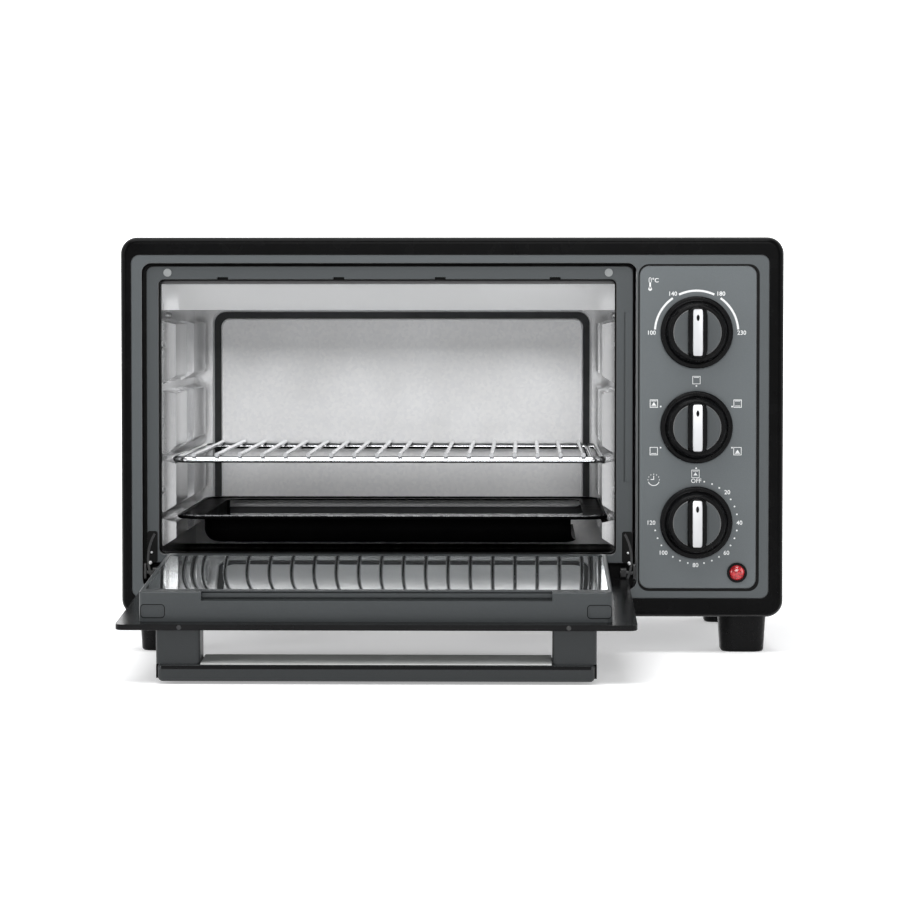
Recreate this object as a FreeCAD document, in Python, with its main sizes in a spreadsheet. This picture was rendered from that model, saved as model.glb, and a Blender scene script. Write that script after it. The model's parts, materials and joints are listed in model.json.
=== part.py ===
"""Countertop toaster oven, drawn as an assembly of separate pieces.

Millimetres throughout. X runs to the right, Y to the back and Z up. Z = 0 is the
worktop. The door is drawn shut and then turned about its hinge pins to lie open.
Every length comes from the spreadsheet "dims" or from a formula on its cells.
"""

import FreeCAD
import Part
import Sketcher
import math
import os
import re
from collections import namedtuple

Vector = FreeCAD.Vector
Rotation = FreeCAD.Rotation

# Alias and value. A value that starts with "=" is a formula on the other cells.
DIMENSIONS = [
    # outer case
    ("front", -65.0),
    ("case_width", 477.2),
    ("case_depth", 330.0),
    ("case_low", 26.7),
    ("case_high", 300.0),
    ("case_corner", 12.0),
    ("case_left", "=-case_width / 2"),
    ("case_right", "=case_width / 2"),
    ("case_back", "=front + case_depth - 1"),
    ("sheet", 0.6),
    ("casing_inset", 1.5),
    # black border and grey fascia
    ("ring_back", "=front + 16"),
    ("fascia_left", "=case_left + 7.6"),
    ("fascia_right", "=case_right - 10.4"),
    ("fascia_low", "=case_low + 13.5"),
    ("fascia_high", "=case_high - 12.6"),
    ("fascia_front", "=front + 0.6"),
    ("fascia_back", "=front + 9.6"),
    ("recess_left", -223.2),
    ("recess_right", 133.2),
    ("recess_low", 46.2),
    ("recess_high", 281.4),
    ("recess_corner", 7.0),
    ("panel_gap", 0.9),
    ("control_left", 135.0),
    ("control_right", 219.2),
    ("control_low", 47.3),
    ("control_high", 279.5),
    ("control_front", "=front + 0.8"),
    ("bracket_back", "=fascia_back + 1.5"),
    # frame that the door shuts against, and the mouth of the oven
    ("seat_front", "=front + 5"),
    ("seat_left", -220.3),
    ("seat_right", 130.4),
    ("seat_low", 65.2),
    ("seat_high", 279.1),
    ("mouth_left", -211.6),
    ("mouth_right", 118.6),
    ("mouth_low", 71.2),
    ("mouth_high", 269.8),
    ("mouth_corner", 4.0),
    ("bumper_z", 274.6),
    ("strip_low", 124.0),
    ("strip_high", 246.2),
    ("chassis_back", "=fascia_back + 6"),
    ("flange_back", "=chassis_back + 1.2"),
    # oven cavity
    ("floor_top", 51.2),
    ("ceiling", 269.7),
    ("cavity_back", "=front + 284"),
    ("guide_reach", 9.5),
    ("middle", "=(mouth_left + mouth_right) / 2"),
    ("element", 6.6),
    ("element_near", "=front + 82"),
    ("element_far", "=front + 216"),
    ("upper_element", 258.2),
    ("lower_element", 61.2),
    # controls
    ("knob_x", 176.0),
    ("temperature_z", 231.7),
    ("function_z", 163.6),
    ("timer_z", 95.0),
    ("lamp_x", 205.5),
    ("lamp_z", 58.8),
    ("spindle", 6.0),
    ("knob_back", "=front - 0.4"),
    ("knob_face", "=front - 13"),
    ("knob_tip", "=front - 21"),
    # door, drawn shut
    ("hinge_y", "=front + 7.5"),
    ("hinge_z", 57.8),
    ("door_angle", 93.7),
    ("panel_left", -218.6),
    ("panel_right", 127.4),
    ("panel_low", 51.3),
    ("panel_high", 277.8),
    ("panel_front", "=front"),
    ("panel_back", "=front + 4"),
    ("inner_left", -203.9),
    ("inner_right", 111.2),
    ("inner_low", 76.3),
    ("inner_high", 265.2),
    ("inner_back", "=front + 24"),
    ("glass", 3.0),
    ("lug_width", 4.0),
    # handle
    ("handle_left", -191.9),
    ("handle_right", 100.6),
    ("handle_low", 243.3),
    ("handle_high", 277.3),
    ("handle_out", 34.5),
    ("handle_thick", 11.5),
    ("bracket_width", 29.5),
    ("handle_front", "=panel_front - handle_out"),
    ("handle_back", "=handle_front + handle_thick"),
    # wire rack and pan
    ("rack_left", "=middle - 158.5"),
    ("rack_right", "=middle + 158.5"),
    ("rack_near", "=front + 28"),
    ("rack_far", "=front + 280"),
    ("rack_z", 138.7),
    ("rack_bar", 4.8),
    ("rack_wire", 3.2),
    ("rack_pitch", 16.7),
    ("pan_left", -202.5),
    ("pan_right", 113.5),
    ("pan_near", "=front + 28"),
    ("pan_far", "=front + 280"),
    ("pan_rim", 98.0),
    ("pan_low", 76.7),
    ("pan_flange", 18.5),
    ("pan_corner", 22.0),
    ("pan_sheet", 0.8),
    # feet
    ("foot_top", 34.4),
    ("foot_bottom", 31.0),
    ("foot_x", 210.6),
    ("foot_near", "=front + 30.7"),
    ("foot_far", "=front + 266"),
]
NAMES = {name for name, _ in DIMENSIONS}
WORD = re.compile(r"[a-z_][a-z0-9_]*")

RACK_WIRES = 18
BUMPERS = ("-205", "113")
GUIDE_GAPS = (98.2, 141.2, 192.2)

Rounded = namedtuple("Rounded", "left right low high radius")
Disc = namedtuple("Disc", "x y diameter")
Corners = namedtuple("Corners", "points")

doc = FreeCAD.newDocument("toaster_oven")
sheet = doc.addObject("Spreadsheet::Sheet", "dims")
nodes = {}


# ---------------------------------------------------------------- the sheet


def fill_sheet():
    """Writes each dimension in its own row, with its alias beside it."""
    for row, (name, value) in enumerate(DIMENSIONS, start=1):
        sheet.set(f"A{row}", name)
        sheet.set(f"B{row}", str(value))
        sheet.setAlias(f"B{row}", name)
    doc.recompute()


def on_sheet(formula):
    """The formula with every dimension named in full, for use outside the sheet."""
    return WORD.sub(
        lambda word: "dims." + word.group() if word.group() in NAMES else word.group(),
        str(formula),
    )


def bind(item, field, formula):
    item.setExpression(field, on_sheet(formula))


def number(formula):
    """What the formula comes to, as a plain number."""
    value = sheet.evalExpression(str(formula))
    return float(getattr(value, "Value", value))


def keep(item, name):
    """Makes an item one of the assembly's named nodes."""
    item.Label = name
    nodes[name] = item
    return item


# ------------------------------------------------------- sketches and bodies


def new_body(name):
    return doc.addObject("PartDesign::Body", name)


def sketch_on(body, plane, level):
    """A sketch on one of the body's own origin planes, moved to level along its normal."""
    sketch = body.newObject("Sketcher::SketchObject", body.Name + "_sketch")
    support = [item for item in body.Origin.OriginFeatures if item.Role == plane][0]
    sketch.AttachmentSupport = (support, [""])
    sketch.MapMode = "FlatFace"
    bind(sketch, "AttachmentOffset.Base.z", level)
    return sketch


def dimension(sketch, kind, place, formula):
    """Adds one dimension to a sketch and ties it to the sheet."""
    index = sketch.addConstraint(Sketcher.Constraint(kind, *place, number(formula)))
    bind(sketch, f"Constraints[{index}]", formula)


def draw_rounded(sketch, shape):
    """Four sides and four corner arcs, held by five dimensions."""
    left, right, low, high, radius = (number(formula) for formula in shape)
    first = sketch.GeometryCount
    sides = [
        ((left + radius, low), (right - radius, low)),
        ((right, low + radius), (right, high - radius)),
        ((right - radius, high), (left + radius, high)),
        ((left, high - radius), (left, low + radius)),
    ]
    for start, end in sides:
        sketch.addGeometry(Part.LineSegment(Vector(*start, 0), Vector(*end, 0)))
    centres = [
        (right - radius, low + radius, -90),
        (right - radius, high - radius, 0),
        (left + radius, high - radius, 90),
        (left + radius, low + radius, 180),
    ]
    for x, y, angle in centres:
        circle = Part.Circle(Vector(x, y, 0), Vector(0, 0, 1), radius)
        start = math.radians(angle)
        sketch.addGeometry(Part.ArcOfCircle(circle, start, start + math.pi / 2))
    for corner in range(4):
        side = first + corner
        arc = first + 4 + corner
        following = first + (corner + 1) % 4
        sketch.addConstraint(Sketcher.Constraint("Tangent", side, 2, arc, 1))
        sketch.addConstraint(Sketcher.Constraint("Tangent", arc, 2, following, 1))
        direction = "Vertical" if corner % 2 else "Horizontal"
        sketch.addConstraint(Sketcher.Constraint(direction, side))
    for arc in range(first + 5, first + 8):
        sketch.addConstraint(Sketcher.Constraint("Equal", first + 4, arc))
    dimension(sketch, "Radius", (first + 4,), shape.radius)
    dimension(sketch, "DistanceY", (-1, 1, first, 1), shape.low)
    dimension(sketch, "DistanceX", (-1, 1, first + 1, 1), shape.right)
    dimension(sketch, "DistanceY", (-1, 1, first + 2, 1), shape.high)
    dimension(sketch, "DistanceX", (-1, 1, first + 3, 1), shape.left)


def draw_disc(sketch, shape):
    centre = Vector(number(shape.x), number(shape.y), 0)
    circle = Part.Circle(centre, Vector(0, 0, 1), number(shape.diameter) / 2)
    index = sketch.addGeometry(circle)
    dimension(sketch, "Diameter", (index,), shape.diameter)
    dimension(sketch, "DistanceX", (-1, 1, index, 3), shape.x)
    dimension(sketch, "DistanceY", (-1, 1, index, 3), shape.y)


def draw_path(sketch, points, closed):
    """Straight lines from point to point, each point held by two dimensions."""
    places = [Vector(number(x), number(y), 0) for x, y in points]
    first = sketch.GeometryCount
    count = len(points) if closed else len(points) - 1
    for step in range(count):
        line = Part.LineSegment(places[step], places[(step + 1) % len(places)])
        sketch.addGeometry(line)
    joints = count if closed else count - 1
    for step in range(joints):
        following = first + (step + 1) % count
        joint = Sketcher.Constraint("Coincident", first + step, 2, following, 1)
        sketch.addConstraint(joint)
    for step in range(len(points)):
        last = not closed and step == len(points) - 1
        place = (-1, 1, first + step - 1, 2) if last else (-1, 1, first + step, 1)
        dimension(sketch, "DistanceX", place, points[step][0])
        dimension(sketch, "DistanceY", place, points[step][1])


def draw(sketch, outlines):
    for shape in outlines:
        if isinstance(shape, Rounded):
            draw_rounded(sketch, shape)
        elif isinstance(shape, Disc):
            draw_disc(sketch, shape)
        else:
            draw_path(sketch, shape.points, closed=True)


def add_slab(body, plane, start, end, *outlines):
    """Fills the outlines with material from start to end along the plane's axis."""
    level = f"-({end})" if plane == "XZ_Plane" else start
    sketch = sketch_on(body, plane, level)
    draw(sketch, outlines)
    pad = body.newObject("PartDesign::Pad", body.Name + "_pad")
    pad.Profile = sketch
    bind(pad, "Length", f"({end}) - ({start})")
    sketch.Visibility = False
    body.Tip = pad
    doc.recompute()
    return pad


def cut_slab(body, plane, start, end, *outlines):
    """Takes the outlines away from start to end along the plane's axis."""
    level = f"-({start})" if plane == "XZ_Plane" else end
    sketch = sketch_on(body, plane, level)
    draw(sketch, outlines)
    pocket = body.newObject("PartDesign::Pocket", body.Name + "_pocket")
    pocket.Profile = sketch
    bind(pocket, "Length", f"({end}) - ({start})")
    sketch.Visibility = False
    body.Tip = pocket
    doc.recompute()
    return pocket


def repeat(body, feature, axis, length, count):
    """Repeats a pocket or pad in a row along its sketch's own axis."""
    pattern = body.newObject("PartDesign::LinearPattern", body.Name + "_row")
    pattern.Originals = [feature]
    pattern.Direction = (feature.Profile[0], [axis])
    bind(pattern, "Length", length)
    pattern.Occurrences = count
    body.Tip = pattern
    doc.recompute()
    return pattern


def plate(name, plane, start, end, *outlines):
    """A body that is one slab: the first outline filled, the others open."""
    body = new_body(name)
    add_slab(body, plane, start, end, *outlines)
    return body


def soften(body, radius, chosen, kind="Fillet"):
    """Rounds or bevels those edges of the body that the test accepts."""
    base = body.Tip
    names = [
        f"Edge{index}"
        for index, edge in enumerate(base.Shape.Edges, start=1)
        if chosen(edge)
    ]
    feature = body.newObject("PartDesign::" + kind, body.Name + "_soft")
    feature.Base = (base, names)
    bind(feature, "Radius" if kind == "Fillet" else "Size", radius)
    body.Tip = feature
    doc.recompute()
    return feature


def lies_at(edge, axis, formula):
    """Whether the whole edge is in the plane at that coordinate of the axis."""
    box = edge.BoundBox
    low, high = getattr(box, axis + "Min"), getattr(box, axis + "Max")
    return max(abs(low - number(formula)), abs(high - number(formula))) < 0.01


def inset(outline, size):
    """The rounded outline moved inwards by size on every side."""
    return Rounded(
        f"{outline.left} + {size}",
        f"{outline.right} - {size}",
        f"{outline.low} + {size}",
        f"{outline.high} - {size}",
        f"{outline.radius} - {size}",
    )


def outset(outline, size):
    """The rounded outline moved outwards by size on every side."""
    return inset(outline, f"(-{size})")


def is_inside(edge, outline):
    """Whether the edge, seen from the front, is within the outline."""
    box = edge.BoundBox
    return (
        box.XMin > number(outline.left) - 0.01
        and box.XMax < number(outline.right) + 0.01
        and box.ZMin > number(outline.low) - 0.01
        and box.ZMax < number(outline.high) + 0.01
    )


def bent_rod(body, plane, level, path, start_plane, start, diameter):
    """A round rod along a path. The path begins at start, square to start_plane."""
    spine = sketch_on(body, plane, level)
    closed = isinstance(path, Rounded)
    if closed:
        draw_rounded(spine, path)
    else:
        draw_path(spine, path, closed=False)
    profile = sketch_on(body, start_plane, start[0])
    draw_disc(profile, Disc(start[1], start[2], diameter))
    pipe = body.newObject("PartDesign::AdditivePipe", body.Name + "_rod")
    pipe.Profile = profile
    pipe.Spine = (spine, [])
    pipe.Transition = "Round corner"
    body.Tip = pipe
    doc.recompute()
    return pipe


# -------------------------------------------------------------- rods and joins

TURNS = {
    "X": Rotation(Vector(0, 1, 0), 90),
    "Y": Rotation(Vector(1, 0, 0), -90),
    "Z": Rotation(),
}


def rod(name, axis, diameter, start, length, centre):
    """A cylinder. Centre gives the other two coordinates, in X, Y, Z order."""
    item = doc.addObject("Part::Cylinder", name)
    item.Placement.Rotation = TURNS[axis]
    bind(item, "Radius", f"({diameter}) / 2")
    bind(item, "Height", length)
    rest = iter(centre)
    for letter in "xyz":
        formula = start if letter.upper() == axis else next(rest)
        bind(item, "Placement.Base." + letter, formula)
    return item


def cut(name, base, *tools):
    item = doc.addObject("Part::Cut", name)
    item.Base = base
    item.Tool = tools[0] if len(tools) == 1 else join(name + "_tools", *tools)
    doc.recompute()
    return item


def join(name, *items):
    item = doc.addObject("Part::MultiFuse", name)
    item.Shapes = list(items)
    item.Refine = True
    doc.recompute()
    return item


def group(name, *items):
    """Separate solids that share one node."""
    item = doc.addObject("Part::Compound", name)
    item.Links = list(items)
    doc.recompute()
    return item


def round_edges(name, base, radius, chosen):
    doc.recompute()
    item = doc.addObject("Part::Fillet", name)
    item.Base = base
    item.Edges = [
        (index, number(radius), number(radius))
        for index, edge in enumerate(base.Shape.Edges, start=1)
        if chosen(edge)
    ]
    doc.recompute()
    return item


def screw(name, axis, sign, seat, centre, shank, head, length):
    """A pan-head screw. Its head stands off the seat, its shank goes the other way."""
    thick = 0.32 * head
    if sign > 0:
        cap = rod(name + "_head", axis, head, seat, thick, centre)
        pin = rod(name + "_shank", axis, shank, f"({seat}) - {length}", length, centre)
    else:
        cap = rod(name + "_head", axis, head, f"({seat}) - {thick}", thick, centre)
        pin = rod(name + "_shank", axis, shank, seat, length, centre)
    return join(name, cap, pin)


# ------------------------------------------------------------ case and fascia

CASE = Rounded("case_left", "case_right", "case_low", "case_high", "case_corner")
FASCIA = Rounded("fascia_left", "fascia_right", "fascia_low", "fascia_high", "6")
RECESS = Rounded(
    "recess_left", "recess_right", "recess_low", "recess_high", "recess_corner"
)
MOUTH = Rounded("mouth_left", "mouth_right", "mouth_low", "mouth_high", "mouth_corner")
INLET = Rounded(
    "mouth_left + 1", "mouth_right - 1", "mouth_low + 1", "mouth_high - 1", "mouth_corner - 1"
)


def build_front_frame():
    """The black border round the whole front."""
    body = plate("front_frame", "XZ_Plane", "front", "ring_back", CASE, FASCIA)
    soften(
        body,
        "4.5",
        lambda edge: lies_at(edge, "Y", "front") and not is_inside(edge, FASCIA),
    )
    soften(
        body,
        "0.4",
        lambda edge: lies_at(edge, "Y", "front") and is_inside(edge, FASCIA),
    )
    cut_slab(body, "XZ_Plane", "fascia_back", "ring_back", inset(CASE, 4))
    cut_slab(
        body, "XZ_Plane", "front + 3", "fascia_back", inset(CASE, 4), outset(FASCIA, 1.5)
    )
    keep(body, "front_frame")


def build_fascia():
    """The grey surround, open for the door and for the control panel."""
    pocket = Rounded(
        "control_left - panel_gap",
        "control_right + panel_gap",
        "control_low - panel_gap",
        "control_high + panel_gap",
        "recess_corner + panel_gap",
    )
    body = plate(
        "fascia", "XZ_Plane", "fascia_front", "fascia_back", FASCIA, RECESS, pocket
    )
    soften(
        body,
        "0.5",
        lambda edge: lies_at(edge, "Y", "fascia_front")
        and not is_inside(edge, pocket),
    )
    keep(body, "fascia")


def build_control_panel():
    outline = Rounded(
        "control_left", "control_right", "control_low", "control_high", "recess_corner"
    )
    holes = [Disc("knob_x", f"{z}_z", "11") for z in ("temperature", "function", "timer")]
    holes.append(Disc("lamp_x", "lamp_z", "12.6"))
    body = plate(
        "control_panel", "XZ_Plane", "control_front", "fascia_back", outline, *holes
    )
    soften(
        body,
        "0.6",
        lambda edge: lies_at(edge, "Y", "control_front") and edge.Length > 40
        or lies_at(edge, "Y", "control_front") and abs(edge.Length - 11) < 0.05,
    )
    keep(body, "control_panel")


def build_control_bracket():
    """Steel plate behind the panel that carries the switches and the lamp."""
    outline = Rounded("133", "224", "42", "284.5", "3")
    holes = [Disc("knob_x", f"{z}_z", "9.6") for z in ("temperature", "function", "timer")]
    holes.append(Disc("lamp_x", "lamp_z", "10"))
    body = plate(
        "control_bracket", "XZ_Plane", "fascia_back", "bracket_back", outline, *holes
    )
    keep(body, "control_bracket")


def build_seat_frame():
    """Flat frame that the door shuts against, with tab notches along its mouth."""
    outer = Rounded("seat_left", "seat_right", "seat_low", "seat_high", "5")
    body = plate("seat_frame", "XZ_Plane", "seat_front", "fascia_back", outer, MOUTH)
    soften(body, "0.5", lambda edge: lies_at(edge, "Y", "seat_front"))
    for middle in (-165.2, -81.4, -8.3, 74.5):
        notch = Rounded(
            f"{middle} - 4", f"{middle} + 4", "mouth_high - 1", "mouth_high + 1.6", "0.4"
        )
        cut_slab(body, "XZ_Plane", "front + 4", "fascia_back + 1", notch)
    bumpers = [Disc(x, "bumper_z", "3") for x in BUMPERS]
    cut_slab(body, "XZ_Plane", "seat_front", "seat_front + 3", *bumpers)
    cut_slab(
        body,
        "XZ_Plane",
        "seat_front + 2",
        "fascia_back",
        inset(outer, 1.2),
        outset(MOUTH, 2.8),
    )
    groove = Rounded("123.9", "125", "strip_low", "strip_high", "0.5")
    cut_slab(body, "XZ_Plane", "seat_front", "seat_front + 1.5", groove)
    keep(body, "seat_frame")


def build_seat_strip():
    """Narrow cover strip on the right-hand side of the seat frame."""
    outline = Rounded("125", "129.8", "strip_low", "strip_high", "2.3")
    body = plate(
        "seat_strip", "XZ_Plane", "seat_front - 0.6", "seat_front", outline
    )
    keep(body, "seat_strip")


def build_door_bumpers():
    """Two soft buttons pressed into the seat frame, which the shut door meets."""
    buttons = []
    for side, x in zip(("left", "right"), BUMPERS):
        place = (x, "bumper_z")
        button = join(
            "bumper_" + side,
            rod(f"bumper_{side}_cap", "Y", "5.8", "seat_front - 0.8", "0.8", place),
            rod(f"bumper_{side}_stem", "Y", "3", "seat_front", "3", place),
        )
        buttons.append(button)
    keep(group("door_bumpers", *buttons), "door_bumpers")


def build_chassis():
    """Deep frame behind the fascia, with a slot that the open door's edge dips into."""
    outline = Rounded(
        "case_left + 4", "131", "case_low + 4", "case_high - 4", "case_corner - 3.8"
    )
    slot = Rounded("-223", "127.8", "recess_low - 0.5", "seat_low - 0.5", "1")
    body = plate(
        "front_chassis", "XZ_Plane", "fascia_back", "chassis_back", outline, INLET, slot
    )
    cut_slab(
        body,
        "XZ_Plane",
        "fascia_back + 1.2",
        "chassis_back",
        inset(outline, 1.2),
        outset(INLET, 1.2),
        outset(slot, 1.2),
    )
    keep(body, "front_chassis")


def build_cavity_flange():
    outline = Rounded("case_left + 8", "131", "37", "case_high - 10", "3")
    body = plate(
        "cavity_flange", "XZ_Plane", "chassis_back", "flange_back", outline, INLET
    )
    keep(body, "cavity_flange")


def build_outer_casing():
    """Top and both sides, bent from one sheet, with air slots."""
    outer = Rounded(
        "case_left + casing_inset",
        "case_right - casing_inset",
        "case_low",
        "case_high - casing_inset",
        "case_corner - casing_inset",
    )
    inner = Rounded(
        "case_left + casing_inset + sheet",
        "case_right - casing_inset - sheet",
        "case_low + sheet",
        "case_high - casing_inset - sheet",
        "case_corner - casing_inset - sheet",
    )
    body = plate("outer_casing", "XZ_Plane", "ring_back", "case_back", outer, inner)
    below = Corners(
        [
            ("case_left", "case_low - 1"),
            ("case_right", "case_low - 1"),
            ("case_right", "case_low + 12"),
            ("case_left", "case_low + 12"),
        ]
    )
    cut_slab(body, "XZ_Plane", "ring_back - 1", "case_back + 1", below)
    slot = Rounded("front + 80", "front + 83.6", "225", "265", "1.79")
    for start, end in (
        ("case_right - 12", "case_right + 1"),
        ("case_left - 1", "case_left + 12"),
    ):
        pocket = cut_slab(body, "YZ_Plane", start, end, slot)
        repeat(body, pocket, "H_Axis", "198", 23)
    slot = Rounded("150", "215", "front + 90", "front + 93.6", "1.79")
    pocket = cut_slab(body, "XY_Plane", "case_high - 12", "case_high", slot)
    repeat(body, pocket, "V_Axis", "180", 21)
    keep(body, "outer_casing")


def build_base_plate():
    """Floor of the case: a tray whose side flanges stand inside the casing."""
    left, right = "case_left + casing_inset + sheet", "case_right - casing_inset - sheet"
    body = plate(
        "base_plate",
        "XZ_Plane",
        "ring_back",
        "case_back",
        Corners(
            [
                (left, "case_low + 13"),
                (left, "case_low + 6"),
                (f"{left} + 6", "case_low"),
                (f"{right} - 6", "case_low"),
                (right, "case_low + 6"),
                (right, "case_low + 13"),
                (f"{right} - sheet", "case_low + 13"),
                (f"{right} - sheet", "case_low + 6.4"),
                (f"{right} - 6.4", "case_low + sheet"),
                (f"{left} + 6.4", "case_low + sheet"),
                (f"{left} + sheet", "case_low + 6.4"),
                (f"{left} + sheet", "case_low + 13"),
            ]
        ),
    )
    holes = [
        Disc(x, y, "4") for x in ("-foot_x", "foot_x") for y in ("foot_near", "foot_far")
    ]
    cut_slab(body, "XY_Plane", "case_low - 1", "case_low + 3", *holes)
    slot = Rounded("-150", "-90", "front + 70", "front + 74", "1.9")
    pocket = cut_slab(body, "XY_Plane", "case_low - 1", "case_low + 3", slot)
    repeat(body, pocket, "V_Axis", "180", 16)
    slot = Rounded("20", "80", "front + 70", "front + 74", "1.9")
    pocket = cut_slab(body, "XY_Plane", "case_low - 1", "case_low + 3", slot)
    repeat(body, pocket, "V_Axis", "180", 16)
    slot = Rounded("150", "200", "front + 70", "front + 74", "1.9")
    pocket = cut_slab(body, "XY_Plane", "case_low - 1", "case_low + 3", slot)
    repeat(body, pocket, "V_Axis", "180", 16)
    keep(body, "base_plate")


def build_rear_cover():
    """Back of the case, with two rows of air slots and the cord gland's hole."""
    outline = Rounded(
        "case_left + casing_inset",
        "case_right - casing_inset",
        "case_low",
        "case_high - casing_inset",
        "case_corner - casing_inset",
    )
    body = plate(
        "rear_cover",
        "XZ_Plane",
        "case_back",
        "case_back + sheet",
        outline,
        Disc("190", "60", "16"),
        *[Disc(x, z, "3.4") for x, z in rear_screw_places()],
    )
    for left in ("-200", "145"):
        for low in ("100", "190"):
            slot = Rounded(left, f"{left} + 3.6", low, f"{low} + 50", "1.79")
            pocket = cut_slab(body, "XZ_Plane", "case_back - 1", "case_back + 2", slot)
            repeat(body, pocket, "H_Axis", "56", 8)
    panel = Rounded("-110", "110", "80", "250", "10")
    groove = Rounded("-104", "104", "86", "244", "7")
    add_slab(body, "XZ_Plane", "case_back + sheet", "case_back + sheet + 1.5", panel, groove)
    keep(body, "rear_cover")


def rear_screw_places():
    return [
        (x, z) for x in ("-225", "225") for z in ("50", "160", "275")
    ] + [("0", "288"), ("0", "36")]


def build_case_screws():
    screws = [
        screw(f"rear_screw_{index}", "Y", 1, "case_back + sheet", place, "3.4", 7, 6)
        for index, place in enumerate(rear_screw_places())
    ]
    keep(group("case_screws", *screws), "case_screws")


def build_rear_spacers():
    """Two stubs that keep the hot back away from a wall."""
    stubs = []
    for side, x in (("left", "-170"), ("right", "120")):
        stub = plate(
            "spacer_" + side,
            "XZ_Plane",
            "case_back + sheet",
            "case_back + sheet + 11",
            Rounded(f"{x} - 9", f"{x} + 9", "266", "284", "5"),
        )
        soften(stub, "2", lambda edge: lies_at(edge, "Y", "case_back + sheet + 11"))
        stubs.append(stub)
    keep(group("rear_spacers", *stubs), "rear_spacers")


def build_cord_gland():
    """Bush in the rear cover that the mains lead enters through."""
    ring = rod("gland_flange", "Y", "22", "case_back + sheet", "4", ("190", "60"))
    neck = rod("gland_neck", "Y", "16", "case_back - 6", "7", ("190", "60"))
    nut = rod("gland_nut", "Y", "21", "case_back - 5", "5", ("190", "60"))
    bore = rod("gland_bore", "Y", "8.5", "case_back - 10", "30", ("190", "60"))
    gland = cut("cord_gland", join("gland_blank", ring, neck, nut), bore)
    keep(gland, "cord_gland")


def build_feet():
    """Four tapered feet, each hollow below for its screw's head."""
    screws = []
    for end, y in (("front", "foot_near"), ("rear", "foot_far")):
        for side, x in (("left", "-foot_x"), ("right", "foot_x")):
            name = f"foot_{end}_{side}"
            half = "foot_bottom / 2"
            outline = Rounded(
                f"{x} - {half}", f"{x} + {half}", f"{y} - {half}", f"{y} + {half}", "9"
            )
            body = plate(name, "XY_Plane", "0", "case_low", outline)
            bind(body.Tip, "TaperAngle", "atan((foot_top - foot_bottom) / 2 / case_low)")
            doc.recompute()
            soften(body, "2.2", lambda edge: lies_at(edge, "Z", "0"))
            cut_slab(body, "XY_Plane", "-1", "case_low - 6", Disc(x, y, "12"))
            cut_slab(body, "XY_Plane", "0", "case_low + 1", Disc(x, y, "4"))
            keep(body, name)
            screws.append(
                screw(f"foot_screw_{end}_{side}", "Z", -1, "case_low - 6", (x, y), "4", 8, 12)
            )
    keep(group("foot_screws", *screws), "foot_screws")


# ------------------------------------------------------------------ the cavity


def guide_spans():
    """Lower and upper edge of each pressed guide, between the shelf levels."""
    spans = []
    below = 81.2
    for gap in GUIDE_GAPS:
        spans.append((below, gap - 5.7))
        below = gap + 7.5
    spans.append((below, 237.2))
    return spans


def guide_outline(wall, inward, low, high, inset):
    """Cross-section of a pressed guide, or of the hollow behind it."""
    reach = f"({inward}) * (guide_reach - {inset})"
    back = f"{wall} - ({inward}) * 2 * {inset}"
    return Corners(
        [
            (back, f"{low} - 6 + {inset}"),
            (f"{wall} + {reach}", f"{low} + {inset}"),
            (f"{wall} + {reach}", f"{high} - {inset}"),
            (back, f"{high} + 2.2 - {inset}"),
        ]
    )


def build_side_wall(side, wall, inward):
    """A cavity side with two columns of hollow, pressed shelf guides."""
    name = f"cavity_{side}_wall"
    outside = f"{wall} - ({inward}) * sheet"
    start, end = (outside, wall) if inward > 0 else (wall, outside)
    body = new_body(name)
    add_slab(
        body,
        "YZ_Plane",
        start,
        end,
        Rounded("flange_back", "cavity_back", "floor_top - 1", "ceiling + 1", "0.5"),
    )
    columns = (("front + 34", "front + 118"), ("front + 172", "front + 270"))
    for near, far in columns:
        for low, high in guide_spans():
            shape = guide_outline(wall, inward, low, high, "0.001")
            add_slab(body, "XZ_Plane", near, far, shape)
    for near, far in columns:
        for low, high in guide_spans():
            hollow = guide_outline(wall, inward, low, high, "sheet")
            cut_slab(body, "XZ_Plane", f"{near} + sheet", f"{far} - sheet", hollow)
    holes = [
        Disc(y, z, "element + 1.4")
        for y in ("element_near", "element_far")
        for z in ("upper_element", "lower_element")
    ]
    cut_slab(
        body, "YZ_Plane", f"{start} - 0.5", f"{end} + 0.5", *holes
    )
    keep(body, name)


def build_rear_wall():
    """Back of the cavity, with a pressed groove in the form of a rounded frame."""
    body = plate(
        "cavity_rear_wall",
        "XZ_Plane",
        "cavity_back",
        "cavity_back + sheet",
        Rounded("mouth_left - 1", "mouth_right + 1", "floor_top - 1", "ceiling + 1", "0.5"),
    )
    outer = Rounded("-197", "105.4", "83.2", "246.6", "10")
    inner = Rounded("-190.6", "99", "89.6", "240.2", "7")
    add_slab(
        body,
        "XZ_Plane",
        "cavity_back + sheet",
        "cavity_back + sheet + 4",
        outset(outer, 1),
        inset(inner, 1),
    )
    cut_slab(body, "XZ_Plane", "cavity_back", "cavity_back + 4", outer, inner)
    soften(
        body,
        "0.8",
        lambda edge: lies_at(edge, "Y", "cavity_back")
        and is_inside(edge, outer),
    )
    keep(body, "cavity_rear_wall")


def build_cavity_floor_and_ceiling():
    for name, low, ribs in (
        ("cavity_floor", "floor_top - sheet", "floor_top - 2.4"),
        ("cavity_ceiling", "ceiling", "ceiling + 0.4"),
    ):
        body = plate(
            name,
            "XY_Plane",
            low,
            f"{low} + sheet",
            Rounded("mouth_left", "mouth_right", "flange_back", "cavity_back", "0.5"),
        )
        for y in ("front + 120", "front + 180"):
            add_slab(
                body,
                "XY_Plane",
                ribs,
                f"{ribs} + 2",
                Rounded("middle - 120", "middle + 120", f"{y} - 5", f"{y} + 5", "4.9"),
            )
        keep(body, name)


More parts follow.
